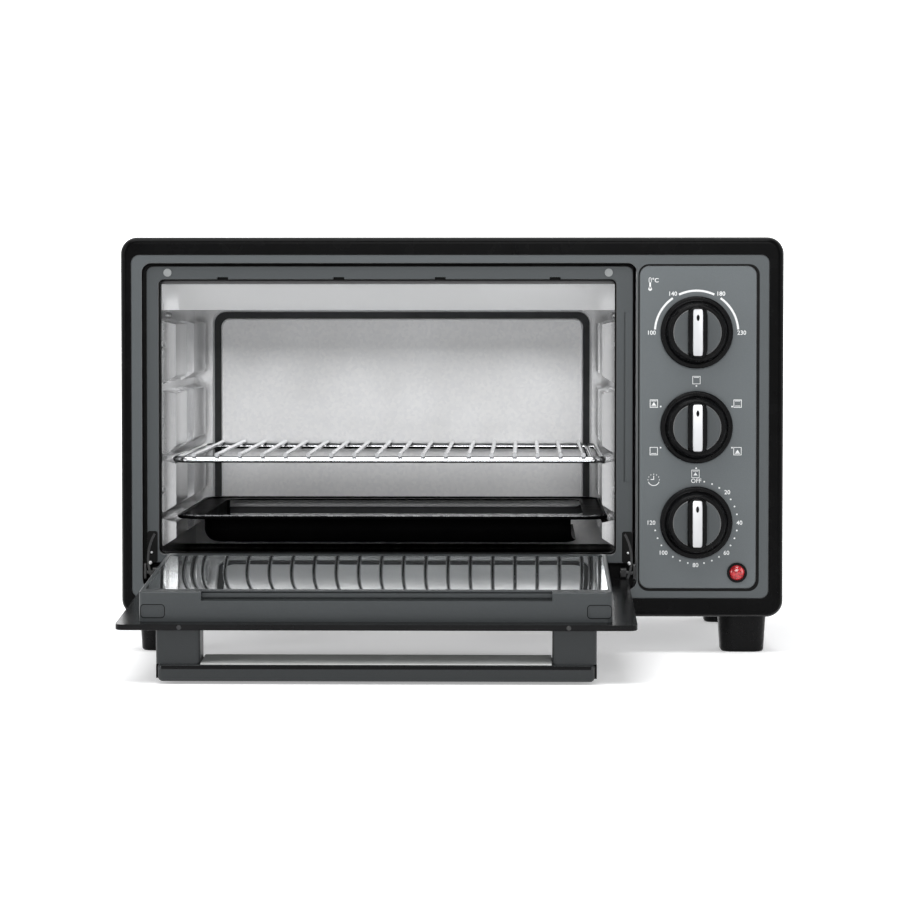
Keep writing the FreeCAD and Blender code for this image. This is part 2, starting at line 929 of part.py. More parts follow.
def build_top_reflector():
    """Slanted sheet under the ceiling, with a lip that hangs in the mouth's top edge."""
    body = plate(
        "top_reflector",
        "YZ_Plane",
        "mouth_left",
        "mouth_right",
        Corners(
            [
                ("front + 17.4", "ceiling - 3.4"),
                ("front + 18.4", "ceiling - 3.4"),
                ("front + 18.4", "ceiling - 1"),
                ("front + 26", "ceiling - 1"),
                ("front + 45", "ceiling - 22"),
                ("front + 49", "ceiling - 22"),
                ("front + 49", "ceiling - 21"),
                ("front + 45.5", "ceiling - 21"),
                ("front + 27.5", "ceiling - 1"),
                ("front + 44", "ceiling - 1"),
                ("front + 44", "ceiling"),
                ("front + 17.4", "ceiling"),
            ]
        ),
    )
    keep(body, "top_reflector")


def build_elements():
    """Four sheathed rods that pass through both walls, each held by two bushes."""
    bushes = []
    for level in ("upper", "lower"):
        pair = []
        for end, y in (("front", "element_near"), ("rear", "element_far")):
            z = f"{level}_element"
            name = f"{level}_element_{end}"
            sheath = rod(
                name + "_sheath",
                "X",
                "element",
                "mouth_left - 8",
                "mouth_right - mouth_left + 16",
                (y, z),
            )
            pin = rod(
                name + "_pin",
                "X",
                "3",
                "mouth_left - 12",
                "mouth_right - mouth_left + 24",
                (y, z),
            )
            pair.append(join(name, sheath, pin))
            for side, x in (("left", "mouth_left - 6"), ("right", "mouth_right + 1")):
                tag = f"bush_{level}_{end}_{side}"
                ring = rod(tag + "_ring", "X", "13", x, "5", (y, z))
                bore = rod(tag + "_bore", "X", "element", x, "5", (y, z))
                bushes.append(cut(tag, ring, bore))
        keep(group(f"{level}_elements", *pair), f"{level}_elements")
    keep(group("element_bushes", *bushes), "element_bushes")


# -------------------------------------------------------- behind the controls


def build_heat_shield():
    """Sheet that keeps the cavity's heat from the switches."""
    body = plate(
        "heat_shield",
        "XZ_Plane",
        "flange_back",
        "case_back",
        Corners(
            [
                ("133", "case_low + sheet"),
                ("148", "case_low + sheet"),
                ("148", "case_low + 2 * sheet"),
                ("133 + sheet", "case_low + 2 * sheet"),
                ("133 + sheet", "290"),
                ("133", "290"),
            ]
        ),
    )
    keep(body, "heat_shield")


def build_switch(name, outline, centre_z, back):
    """A switch on the bracket: its case, and a neck that its spindle turns in."""
    body = plate(name, "XZ_Plane", "bracket_back", back, outline)
    add_slab(body, "XZ_Plane", "front + 5", "bracket_back", Disc("knob_x", centre_z, "9.6"))
    cut_slab(
        body,
        "XZ_Plane",
        "front + 4",
        "bracket_back + 12",
        Disc("knob_x", centre_z, "spindle + 0.16"),
    )
    return body


def build_switches():
    thermostat = build_switch(
        "thermostat",
        Rounded("knob_x - 18", "knob_x + 18", "temperature_z - 14", "temperature_z + 14", "2"),
        "temperature_z",
        "bracket_back + 24",
    )
    for x in ("knob_x - 9", "knob_x + 9"):
        add_slab(
            thermostat,
            "XZ_Plane",
            "bracket_back + 24",
            "bracket_back + 32",
            Rounded(f"{x} - 0.4", f"{x} + 0.4", "temperature_z - 3", "temperature_z + 3", "0.3"),
        )
    keep(thermostat, "thermostat")
    switch = build_switch(
        "function_switch", Disc("knob_x", "function_z", "42"), "function_z", "bracket_back + 22"
    )
    for x in ("knob_x - 12", "knob_x", "knob_x + 12"):
        add_slab(
            switch,
            "XZ_Plane",
            "bracket_back + 22",
            "bracket_back + 30",
            Rounded(f"{x} - 0.4", f"{x} + 0.4", "function_z - 14", "function_z - 8", "0.3"),
        )
    keep(switch, "function_switch")
    timer = build_switch(
        "timer_mechanism",
        Rounded("knob_x - 25", "knob_x + 25", "timer_z - 22", "timer_z + 22", "4"),
        "timer_z",
        "bracket_back + 34",
    )
    keep(timer, "timer_mechanism")


def build_timer_bell():
    """Gong on a short post behind the timer."""
    post = rod("bell_post", "Y", "5", "bracket_back + 34", "6", ("knob_x", "timer_z"))
    dome = rod("bell_dome", "Y", "44", "bracket_back + 40", "11", ("knob_x", "timer_z"))
    rounded = round_edges(
        "bell_rounded", dome, "9", lambda edge: lies_at(edge, "Y", "bracket_back + 51")
    )
    hollow = rod("bell_hollow", "Y", "41", "bracket_back + 39", "9", ("knob_x", "timer_z"))
    stem = rod("bell_stem", "Y", "5", "bracket_back + 34", "16", ("knob_x", "timer_z"))
    keep(
        join("timer_bell", cut("bell_shell", rounded, hollow), post, stem), "timer_bell"
    )


def build_indicator():
    """Black bezel with a tail through the bracket, and a red lens in its mouth."""
    place = ("lamp_x", "lamp_z")
    bezel = join(
        "indicator_bezel",
        rod("bezel_ring", "Y", "14.4", "control_front - 1.2", "1.2", place),
        rod("bezel_tube", "Y", "12.6", "control_front", "fascia_back - control_front", place),
        rod("bezel_tail", "Y", "10", "fascia_back", "22", place),
    )
    seat = rod("bezel_seat", "Y", "11", "control_front - 2", "7", place)
    holder = cut("indicator_holder", bezel, seat)
    keep(holder, "indicator_holder")
    lens = rod("lens_blank", "Y", "11", "control_front - 3.4", "8.4", place)
    dome = round_edges(
        "lens_dome", lens, "3", lambda edge: lies_at(edge, "Y", "control_front - 3.4")
    )
    keep(dome, "indicator_lens")


def build_terminal_block():
    body = plate(
        "terminal_block",
        "XY_Plane",
        "case_low + sheet",
        "case_low + sheet + 16",
        Rounded("168", "216", "front + 268", "front + 288", "2"),
    )
    wells = [
        Disc(x, y, "5")
        for x in ("176", "186", "196", "206")
        for y in ("front + 273", "front + 283")
    ]
    cut_slab(
        body, "XY_Plane", "case_low + sheet + 10", "case_low + sheet + 17", *wells
    )
    keep(body, "terminal_block")


def build_wiring():
    """One loom from the function switch to the terminal block."""
    body = new_body("wiring_loom")
    bent_rod(
        body,
        "YZ_Plane",
        "knob_x + 16",
        [
            ("bracket_back + 22", "function_z"),
            ("front + 278", "function_z"),
            ("front + 278", "case_low + sheet + 16"),
        ],
        "XZ_Plane",
        ("-(bracket_back + 22)", "knob_x + 16", "function_z"),
        "6",
    )
    keep(body, "wiring_loom")


# ------------------------------------------------------------------- the hinge


def build_hinge_brackets():
    """Fixed cheek and pin at each lower corner of the door."""
    for side, cheek, pin_start, pin_length in (
        ("left", ("-222.6", "-221"), "-222.6", "11"),
        ("right", ("131.1", "132.7"), "121.7", "11"),
    ):
        name = "hinge_bracket_" + side
        plate_part = plate(
            name + "_cheek",
            "YZ_Plane",
            cheek[0],
            cheek[1],
            Rounded("front + 3.5", "chassis_back", "hinge_z - 5", "seat_low - 0.5", "1.5"),
        )
        pin = rod(name + "_pin", "X", "4", pin_start, pin_length, ("hinge_y", "hinge_z"))
        keep(join(name, plate_part, pin), name)


# -------------------------------------------------------------------- the door

DOOR = Rounded("panel_left", "panel_right", "panel_low", "panel_high", "5")
INNER = Rounded("inner_left", "inner_right", "inner_low", "inner_high", "4")
GLASS = Rounded("inner_left + 3", "inner_right - 3", "inner_low + 8", "inner_high - 13", "3")
LEDGE = Rounded("inner_left + 9", "inner_right - 9", "inner_low + 14", "inner_high - 19", "3")


def open_door(item):
    """Turns a piece of the shut door about the hinge pins to its open place."""
    centre = Vector(0, number("hinge_y"), number("hinge_z"))
    turn = Rotation(Vector(1, 0, 0), number("door_angle"))
    item.Placement = FreeCAD.Placement(Vector(), turn, centre)
    return item


def build_door_panel():
    """Outer panel, with a stepped window for the outer pane."""
    body = plate("door_panel", "XZ_Plane", "panel_front", "panel_back", DOOR, LEDGE)
    cut_slab(body, "XZ_Plane", "panel_front", "panel_front + 3", GLASS)
    soften(body, "0.8", lambda edge: lies_at(edge, "Y", "panel_front") and edge.Length > 30
           and not is_inside(edge, GLASS))
    screws = [Disc(x, "handle_low + 15", "4") for x in handle_screw_places()]
    cut_slab(body, "XZ_Plane", "panel_front - 1", "panel_back + 1", *screws)
    keep(open_door(body), "door_panel")


def build_inner_frame():
    """Deep hollow frame that enters the mouth, with a ledge for the inner pane."""
    body = plate("door_inner_frame", "XZ_Plane", "panel_back", "inner_back", INNER, LEDGE)
    cut_slab(body, "XZ_Plane", "inner_back - glass - 0.4", "inner_back", GLASS)
    soften(body, "1", lambda edge: lies_at(edge, "Y", "inner_back")
           and not is_inside(edge, GLASS))
    cut_slab(
        body,
        "XZ_Plane",
        "panel_back",
        "inner_back - 9",
        inset(INNER, 1.6),
        outset(LEDGE, 1.2),
    )
    left, right = "handle_left + bracket_width", "handle_right - bracket_width"
    for near, far, low in (("6", "-1", "7"), ("5.9", "4.5", "10"), ("1.7", "0.8", "9.5")):
        step = Rounded(left, right, f"inner_high - {low}", "inner_high + 1", "0.3")
        cut_slab(body, "XZ_Plane", f"inner_back - {near}", f"inner_back - {far}", step)
    for left in ("inner_left + 1", "inner_right - 17"):
        press = Rounded(left, f"{left} + 16", "inner_back - 17.5", "inner_back - 8.5", "2.5")
        cut_slab(body, "XY_Plane", "inner_high - 0.8", "inner_high + 1", press)
    keep(open_door(body), "door_inner_frame")


def build_panes():
    inner = plate(
        "inner_pane", "XZ_Plane", "inner_back - glass - 0.4", "inner_back - 0.4", GLASS
    )
    keep(open_door(inner), "inner_pane")
    outer = plate("outer_pane", "XZ_Plane", "panel_front", "panel_front + 3", GLASS)
    keep(open_door(outer), "outer_pane")


def build_hinge_lugs():
    """Eyes behind the panel's lower corners that turn on the hinge pins."""
    lugs = []
    for side, left in (("left", "-216.2"), ("right", "122")):
        eye = plate(
            "hinge_lug_" + side,
            "YZ_Plane",
            left,
            f"{left} + lug_width",
            Rounded("panel_back", "hinge_y + 4", "hinge_z - 4", "hinge_z + 4", "1.5"),
            Disc("hinge_y", "hinge_z", "4.16"),
        )
        lugs.append(eye)
    keep(open_door(group("hinge_lugs", *lugs)), "hinge_lugs")


def handle_screw_places():
    return ("handle_left + bracket_width / 2", "handle_right - bracket_width / 2")


def build_handle():
    """Bar on two brackets, each held by a screw from inside the door."""
    grip = plate(
        "handle_bar",
        "XZ_Plane",
        "handle_front",
        "handle_back",
        Rounded("handle_left + 1.5", "handle_right - 1.5", "handle_low", "handle_high", "3"),
    )
    soften(grip, "3", lambda edge: lies_at(edge, "Y", "handle_front"))
    soften(grip, "2", lambda edge: lies_at(edge, "Y", "handle_back"))
    keep(open_door(grip), "handle_bar")
    brackets = []
    screws = []
    for side, left, middle in zip(
        ("left", "right"), ("handle_left", "handle_right - bracket_width"), handle_screw_places()
    ):
        name = "handle_bracket_" + side
        body = plate(
            name,
            "XZ_Plane",
            "handle_back",
            "panel_front",
            Rounded(left, f"{left} + bracket_width", "handle_low + 3", "handle_high - 3", "3"),
        )
        hole = Disc(middle, "handle_low + 15", "4")
        cut_slab(body, "XZ_Plane", "panel_front - 16", "panel_front + 1", hole)
        brackets.append(body)
        screws.append(
            screw(
                "handle_screw_" + side,
                "Y",
                1,
                "panel_back",
                (middle, "handle_low + 15"),
                "4",
                8,
                20,
            )
        )
    keep(open_door(group("handle_brackets", *brackets)), "handle_brackets")
    keep(open_door(group("handle_screws", *screws)), "handle_screws")
    caps = []
    for side, start in (("left", "handle_left"), ("right", "handle_right - 1.5")):
        cap = plate(
            "handle_cap_" + side,
            "YZ_Plane",
            start,
            f"{start} + 1.5",
            Rounded(
                "handle_front + 1.5", "handle_back - 0.5", "handle_low + 4", "handle_high - 4", "2.5"
            ),
        )
        caps.append(cap)
    keep(open_door(group("handle_caps", *caps)), "handle_caps")


# ------------------------------------------------------------------- the knobs


def build_knob(name, z):
    """A knob with a raised grip, its bright pointer and its spindle."""
    skirt = rod(name + "_skirt", "Y", "52", "knob_back - 4", "4", ("knob_x", z))
    skirt_round = round_edges(
        name + "_skirt_round", skirt, "1.4", lambda edge: lies_at(edge, "Y", "knob_back - 4")
    )
    drum = doc.addObject("Part::Cone", name + "_drum")
    drum.Placement.Rotation = Rotation(Vector(1, 0, 0), 90)
    bind(drum, "Radius1", "22.5")
    bind(drum, "Radius2", "20.5")
    bind(drum, "Height", "knob_back - 4 - knob_face")
    bind(drum, "Placement.Base.x", "knob_x")
    bind(drum, "Placement.Base.y", "knob_back - 4")
    bind(drum, "Placement.Base.z", z)
    drum_round = round_edges(
        name + "_drum_round", drum, "2", lambda edge: lies_at(edge, "Y", "knob_face")
    )
    dish = rod(name + "_dish", "Y", "35", "knob_face - 1", "3", ("knob_x", z))
    grip = plate(
        name + "_grip",
        "XZ_Plane",
        "knob_tip",
        "knob_face + 3",
        Rounded("knob_x - 6.85", "knob_x + 6.85", f"{z} - 18.4", f"{z} + 18.4", "6.8"),
    )
    soften(grip, "1.2", lambda edge: lies_at(edge, "Y", "knob_tip"))
    inlay = inlay_outline(z)
    solid = join(
        name + "_solid", skirt_round, cut(name + "_dished", drum_round, dish), grip
    )
    bore = rod(name + "_bore", "Y", "spindle", "knob_face + 1", "14", ("knob_x", z))
    slot = plate(name + "_slot", "XZ_Plane", "knob_tip", "knob_tip + 1", inlay)
    keep(cut(name, solid, bore, slot), name)
    pointer = plate(
        name + "_pointer", "XZ_Plane", "knob_tip - 0.6", "knob_tip + 1", inlay
    )
    soften(
        pointer, "0.5", lambda edge: lies_at(edge, "Y", "knob_tip - 0.6"), kind="Chamfer"
    )
    keep(pointer, name + "_pointer")
    spindle = rod(
        name + "_spindle", "Y", "spindle", "knob_face + 1", "33", ("knob_x", z)
    )
    keep(spindle, name + "_spindle")


def inlay_outline(z):
    return Rounded("knob_x - 3.5", "knob_x + 3.5", f"{z} - 16.7", f"{z} + 16.7", "1.6")


# -------------------------------------------------------------- rack and pan


def build_rack():
    """Bent frame with a second bar inside each side and the back, and cross wires."""
    body = new_body("rack_frame_loop")
    loop = Rounded(
        "rack_left + rack_bar / 2",
        "rack_right - rack_bar / 2",
        "rack_near + rack_bar / 2",
        "rack_far - rack_bar / 2",
        "9",
    )
    bent_rod(
        body,
        "XY_Plane",
        "rack_z",
        loop,
        "YZ_Plane",
        ("rack_left + rack_bar / 2 + 9", "rack_near + rack_bar / 2", "rack_z"),
        "rack_bar",
    )
    pieces = [body]
    inner = "rack_far - rack_bar / 2 - 9"
    pieces.append(
        rod("rack_back_bar", "X", "4", "rack_left + 2", "rack_right - rack_left - 4",
            (inner, "rack_z"))
    )
    for side, x in (("left", "rack_left + 10"), ("right", "rack_right - 10")):
        pieces.append(
            rod(f"rack_side_{side}", "Y", "4", "rack_near + 2", "rack_far - rack_near - 4",
                (x, "rack_z"))
        )
    height = "rack_z + (rack_bar + rack_wire) / 2 - 0.5"
    for index in range(RACK_WIRES):
        x = f"middle + ({index} - {(RACK_WIRES - 1) / 2}) * rack_pitch"
        pieces.append(
            rod(f"rack_wire_{index}", "Y", "rack_wire", "rack_near - 1.5",
                "rack_far - rack_near + 1.5", (x, height))
        )
    keep(join("wire_rack", *pieces), "wire_rack")


def build_pan():
    """Pressed pan with a wide flange and a rolled rim."""
    rim = Rounded("pan_left", "pan_right", "pan_near", "pan_far", "pan_corner")

    def within(size, corner):
        return Rounded(
            f"pan_left + {size}",
            f"pan_right - {size}",
            f"pan_near + {size}",
            f"pan_far - {size}",
            corner,
        )

    flange = plate("pan_sheet", "XY_Plane", "pan_rim - 1.8", "pan_rim - 1.8 + pan_sheet", rim)
    outside = plate(
        "pan_outside",
        "XY_Plane",
        "pan_low",
        "pan_rim - 1.8",
        within("pan_flange", "pan_corner - 4"),
    )
    soften(outside, "10", lambda edge: lies_at(edge, "Z", "pan_low"))
    inside = plate(
        "pan_inside",
        "XY_Plane",
        "pan_low + pan_sheet",
        "pan_rim",
        within("pan_flange + pan_sheet", "pan_corner - 4 - pan_sheet"),
    )
    soften(inside, "9.2", lambda edge: lies_at(edge, "Z", "pan_low + pan_sheet"))
    roll = plate(
        "pan_roll", "XY_Plane", "pan_rim - 3", "pan_rim", rim, within("3", "pan_corner - 3")
    )
    soften(roll, "1.2", lambda edge: abs(edge.BoundBox.ZLength) < 0.01)
    keep(cut("baking_pan", join("pan_blank", flange, outside, roll), inside), "baking_pan")


# ------------------------------------------------------------------- assembly


def build_all():
    fill_sheet()
    build_front_frame()
    build_fascia()
    build_control_panel()
    build_control_bracket()
    build_seat_frame()
    build_seat_strip()
    build_door_bumpers()
    build_chassis()
    build_cavity_flange()
    build_outer_casing()
    build_base_plate()
    build_rear_cover()
    build_case_screws()
    build_rear_spacers()
    build_cord_gland()
    build_feet()
    build_side_wall("left", "mouth_left", 1)
    build_side_wall("right", "mouth_right", -1)
    build_rear_wall()
    build_cavity_floor_and_ceiling()
    build_top_reflector()
    build_elements()
    build_heat_shield()
    build_switches()
    build_timer_bell()
    build_indicator()
    build_terminal_block()
    build_wiring()
    build_hinge_brackets()
    build_door_panel()
    build_inner_frame()
    build_panes()
    build_hinge_lugs()
    build_handle()
    build_knob("temperature_knob", "temperature_z")
    build_knob("function_knob", "function_z")
    build_knob("timer_knob", "timer_z")
    build_rack()
    build_pan()


def check_all():
    """Stops the build if a feature failed or a node is not sound."""
    doc.recompute()
    faults = [
        item.Label
        for item in doc.Objects
        if "Invalid" in item.State or "Error" in item.State
    ]
    for name, item in nodes.items():
        if item.Shape.isNull() or not item.Shape.isValid() or not item.Shape.Solids:
            faults.append(name)
    if faults:
        raise RuntimeError("unsound: " + ", ".join(faults))


def write_steps():
    os.makedirs("parts", exist_ok=True)
    for name, item in nodes.items():
        item.Shape.exportStep(os.path.join("parts", name + ".step"))


build_all()
check_all()
write_steps()
print(len(nodes), "nodes")
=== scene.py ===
"""Looks for the countertop toaster oven: materials, printed scales, stage and camera."""

import json
import math

import bmesh
import bpy
from mathutils import Matrix, Vector


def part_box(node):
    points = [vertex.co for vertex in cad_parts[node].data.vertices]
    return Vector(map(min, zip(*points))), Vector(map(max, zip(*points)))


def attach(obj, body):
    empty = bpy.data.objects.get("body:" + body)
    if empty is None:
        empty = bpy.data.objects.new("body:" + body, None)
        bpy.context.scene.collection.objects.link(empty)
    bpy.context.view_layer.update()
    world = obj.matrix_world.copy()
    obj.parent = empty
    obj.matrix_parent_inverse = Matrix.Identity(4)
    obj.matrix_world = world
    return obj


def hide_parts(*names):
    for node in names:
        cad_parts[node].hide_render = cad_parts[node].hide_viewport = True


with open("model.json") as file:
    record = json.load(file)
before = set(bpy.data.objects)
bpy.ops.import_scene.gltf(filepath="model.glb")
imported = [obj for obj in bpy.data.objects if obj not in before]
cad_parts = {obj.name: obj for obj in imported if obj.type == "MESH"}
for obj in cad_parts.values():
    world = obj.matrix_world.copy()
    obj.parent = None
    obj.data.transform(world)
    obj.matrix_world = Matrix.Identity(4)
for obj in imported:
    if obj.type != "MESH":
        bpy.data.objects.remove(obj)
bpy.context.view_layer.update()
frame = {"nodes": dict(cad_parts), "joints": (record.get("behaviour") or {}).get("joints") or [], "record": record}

MM = 0.001
MICRON = 0.000001
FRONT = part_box("front_frame")[0][1]

door_hinge = next(joint for joint in frame["joints"] if joint["name"] == "door_hinge")
HINGE = Vector(door_hinge["pos_m"])
DOOR_ANGLE = -door_hinge["range_deg"][0]


# ------------------------------------------------------------ material helpers


def grey(value):
    return (value,) * 3


def scaled(shade, *ratios):
    """A colour as a grey shade times a ratio for each channel."""
    return tuple(shade * ratio for ratio in ratios)


class Paint:
    """A node material with one Principled shader and short calls for its texture nodes."""

    # Sockets of a Mix node that is set to colours: the two colours, and the mixture.
    MIX_COLOURS = (6, 7)
    MIX_RESULT = 2

    def __init__(self, name, colour, metallic=0.0, roughness=0.5, specular=0.5):
        self.material = bpy.data.materials.new(name)
        self.material.use_nodes = True
        self.nodes = self.material.node_tree.nodes
        self.links = self.material.node_tree.links
        self.shader = self.nodes["Principled BSDF"]
        self.set("Base Color", (*colour, 1.0))
        self.set("Metallic", metallic)
        self.set("Roughness", roughness)
        self.set("Specular IOR Level", specular)
        self.place = self.nodes.new("ShaderNodeTexCoord").outputs["Object"]

    def set(self, socket, value):
        self.shader.inputs[socket].default_value = value
        return self

    def link(self, source, socket):
        self.links.new(source, self.shader.inputs[socket])
        return self

    def noise(self, scale, detail, stretch=(1, 1, 1)):
        """Cloudy noise; stretch multiplies the object coordinates along each axis."""
        mapping = self.nodes.new("ShaderNodeMapping")
        mapping.inputs["Scale"].default_value = stretch
        self.links.new(self.place, mapping.inputs["Vector"])
        node = self.nodes.new("ShaderNodeTexNoise")
        node.inputs["Scale"].default_value = scale
        node.inputs["Detail"].default_value = detail
        self.links.new(mapping.outputs["Vector"], node.inputs["Vector"])
        return node.outputs["Fac"]

    def cells(self, scale):
        """A random brightness for each small cell."""
        node = self.nodes.new("ShaderNodeTexVoronoi")
        node.inputs["Scale"].default_value = scale
        self.links.new(self.place, node.inputs["Vector"])
        brightness = self.nodes.new("ShaderNodeRGBToBW")
        self.links.new(node.outputs["Color"], brightness.inputs["Color"])
        return brightness.outputs["Val"]

    def spread(self, source, low, high, start=0.3, end=0.7):
        """Maps a texture's start..end range to low..high."""
        node = self.nodes.new("ShaderNodeMapRange")
        node.inputs["From Min"].default_value = start
        node.inputs["From Max"].default_value = end
        node.inputs["To Min"].default_value = low
        node.inputs["To Max"].default_value = high
        self.links.new(source, node.inputs["Value"])
        return node.outputs["Result"]

    def blend(self, factor, first, second):
        """Mixes two colours by a texture."""
        node = self.nodes.new("ShaderNodeMix")
        node.data_type = "RGBA"
        for socket, value in zip(self.MIX_COLOURS, (first, second)):
            if isinstance(value, tuple):
                node.inputs[socket].default_value = (*value, 1.0)
            else:
                self.links.new(value, node.inputs[socket])
        self.links.new(factor, node.inputs[0])
        return node.outputs[self.MIX_RESULT]

    def tint(self, texture, first, second, start=0.3, end=0.7):
        """Varies the base colour from the first to the second colour by a texture."""
        factor = self.spread(texture, 0, 1, start, end)
        return self.link(self.blend(factor, first, second), "Base Color")

    def vary_gloss(self, texture, low, high):
        """Varies the roughness by a texture."""
        return self.link(self.spread(texture, low, high), "Roughness")

    def math(self, operation, first, second=None):
        node = self.nodes.new("ShaderNodeMath")
        node.operation = operation
        for index, value in enumerate((first, second)):
            if value is None:
                continue
            if isinstance(value, (int, float)):
                node.inputs[index].default_value = value
            else:
                self.links.new(value, node.inputs[index])
        return node.outputs[0]

    def bump(self, height, distance, strength=1.0):
        node = self.nodes.new("ShaderNodeBump")
        node.inputs["Distance"].default_value = distance
        node.inputs["Strength"].default_value = strength
        self.links.new(height, node.inputs["Height"])
        return self.link(node.outputs["Normal"], "Normal")

    def squareness(self):
        """1 where the surface faces the front or the back, 0 where it is side on."""
        normal = self.nodes.new("ShaderNodeTexCoord").outputs["Normal"]
        split = self.nodes.new("ShaderNodeSeparateXYZ")
        self.links.new(normal, split.inputs[0])
        return self.math("ABSOLUTE", split.outputs["Y"])

    def rounding(self):
        """Peaks at 0.9 on rounded edges, and is 0 where the surface is square or side on."""
        square = self.squareness()
        product = self.math("MULTIPLY", square, self.math("SUBTRACT", 1.0, square))
        return self.math("MULTIPLY", product, 3.6)

    def along_depth(self, start, end, low, high):
        """A value that runs from low to high between two places along object Y."""
        split = self.nodes.new("ShaderNodeSeparateXYZ")
        self.links.new(self.place, split.inputs[0])
        return self.spread(split.outputs["Y"], low, high, start, end)

    def bow(self, near, far, near_lean, far_lean):
        """Bows the pane: its normal leans forward by an angle that varies along object Y."""
        lean = self.along_depth(near, far, math.radians(near_lean), math.radians(far_lean))
        join = self.nodes.new("ShaderNodeCombineXYZ")
        self.links.new(self.math("MULTIPLY", self.math("SINE", lean), -1.0), join.inputs["Y"])
        self.links.new(self.math("COSINE", lean), join.inputs["Z"])
        turn = self.nodes.new("ShaderNodeVectorTransform")
        turn.vector_type = "NORMAL"
        turn.convert_from = "OBJECT"
        turn.convert_to = "WORLD"
        self.links.new(join.outputs[0], turn.inputs[0])
        return self.link(turn.outputs[0], "Normal")


# ------------------------------------------------------------------- finishes


def black_enamel(name, base, rough, specular, edge_highlight_tone=0.0):
    """Black paint or enamel with faint orange peel and dust.

    edge_highlight_tone, where it isn't 0, is the grey of a painted highlight along its rounded edges.
    """
    clean = scaled(base, 1.0, 1.0, 1.1)
    dusty = scaled(base, 1.7, 1.7, 1.8)
    paint = Paint(name, clean, roughness=rough, specular=specular)
    dust = paint.noise(60, 5)
    paint.vary_gloss(dust, rough * 0.94, rough * 1.1)
    tone = paint.blend(paint.spread(dust, 0, 1), clean, dusty)
    # Painted highlight: the rounded edges turn a lighter grey.
    if edge_highlight_tone:
        edge_highlight = paint.spread(paint.rounding(), 0, 1, 0.55, 0.9)
        tone = paint.blend(edge_highlight, tone, grey(edge_highlight_tone))
    paint.link(tone, "Base Color")
    return paint.bump(paint.noise(900, 2), 4 * MICRON).material


def graphite(name, shade, rough, paint_shade_and_highlight=True):
    """Graphite metallic paint: fine flakes under a satin surface.

    With paint_shade_and_highlight, faces that look sideways are painted near black as shade, so that narrow gaps
    read dark, and rounded edges get a painted highlight, lighter than the face.
    """
    low = scaled(shade, 0.90, 1.0, 1.04)
    high = scaled(shade, 1.10, 1.22, 1.28)
    paint = Paint(name, low, metallic=0.35, roughness=rough, specular=0.4)
    tone = paint.blend(paint.spread(paint.cells(5200), 0, 1, 0.1, 0.9), low, high)
    # Painted shade: side faces, such as the walls of narrow gaps, turn near black. Painted highlight: rounded
    # edges turn several times lighter than the face.
    if paint_shade_and_highlight:
        facing = paint.spread(paint.squareness(), 0, 1, 0.25, 0.6)
        tone = paint.blend(facing, grey(0.003), tone)
        edge_highlight = paint.spread(paint.rounding(), 0, 0.8, 0.35, 0.9)
        tone = paint.blend(edge_highlight, tone, grey(shade * 4.0))
    paint.link(tone, "Base Color")
    paint.vary_gloss(paint.noise(14, 4), rough * 0.93, rough * 1.1)
    return paint.bump(paint.noise(1500, 2), 10 * MICRON).material


def aluminised(name, shade, rough, metallic=0.92, shaded=None, glow=0.0):
    """Aluminium-coated steel sheet with soft mottling.

    shaded is the pair of depths behind the case's front between which painted shade on the
    front part gives way to the sheet's full tone.  glow is painted light: an emission that
    stands for light scattered inside the cavity.
    """
    paint = Paint(name, grey(shade), metallic=metallic, roughness=rough)
    cloud = paint.noise(22, 5)
    tone = paint.blend(
        paint.spread(paint.cells(420), 0, 1, 0.1, 0.9),
        scaled(shade, 0.95, 0.955, 0.97),
        grey(min(1.0, shade * 1.04)),
    )
    tone = paint.blend(paint.spread(cloud, 0, 0.25), tone, grey(shade * 0.88))
    # Painted shade: in front of the first depth the sheet is darkened to 0.12 of its tone, fading out by the
    # second; the painted glow follows the same fade.
    if shaded:
        reach = paint.along_depth(FRONT + shaded[0], FRONT + shaded[1], 0.0, 1.0)
        tone = paint.blend(reach, grey(shade * 0.12), tone)
        if glow:
            paint.link(paint.blend(reach, grey(0.0), grey(1.0)), "Emission Color")
            paint.set("Emission Strength", glow)
    paint.link(tone, "Base Color")
    paint.vary_gloss(cloud, rough * 0.92, rough * 1.1)
    return paint.bump(paint.noise(700, 2), 4 * MICRON).material


def chrome(name="chrome", rough=0.09, shade=0.80, haze_scale=240):
    """Bright plating with fine haze."""
    bright = scaled(shade, 1.03, 1.04, 1.06)
    paint = Paint(name, bright, metallic=1.0, roughness=rough)
    haze = paint.noise(haze_scale, 4, stretch=(1, 1, 0.2))
    paint.vary_gloss(haze, rough * 0.8, rough * 1.5)
    paint.tint(haze, bright, scaled(shade, 0.95, 0.96, 0.98))
    return paint.bump(haze, 3 * MICRON).material


def zinc(name="zinc_steel", shade=0.5):
    """Zinc-plated steel, with blotchy passivation."""
    paint = Paint(name, grey(shade), metallic=0.9, roughness=0.4)
    bluish = scaled(shade, 0.85, 0.86, 0.9)
    paint.tint(paint.noise(45, 5), bluish, scaled(shade, 1.12, 1.12, 1.1))
    paint.vary_gloss(paint.cells(300), 0.32, 0.5)
    return paint.bump(paint.noise(700, 2), 10 * MICRON).material


def dark_steel():
    """Sheet painted near black, seen in the gaps behind the fascia; its blackness also stands for the shade in
    those gaps and in the painted-shade pieces.
    """
    paint = Paint("dark_steel", grey(0.003), roughness=0.6, specular=0.1)
    paint.tint(paint.noise(25, 4), grey(0.002), grey(0.005))
    paint.vary_gloss(paint.noise(80, 4), 0.4, 0.6)
    return paint.bump(paint.noise(900, 2), 20 * MICRON).material


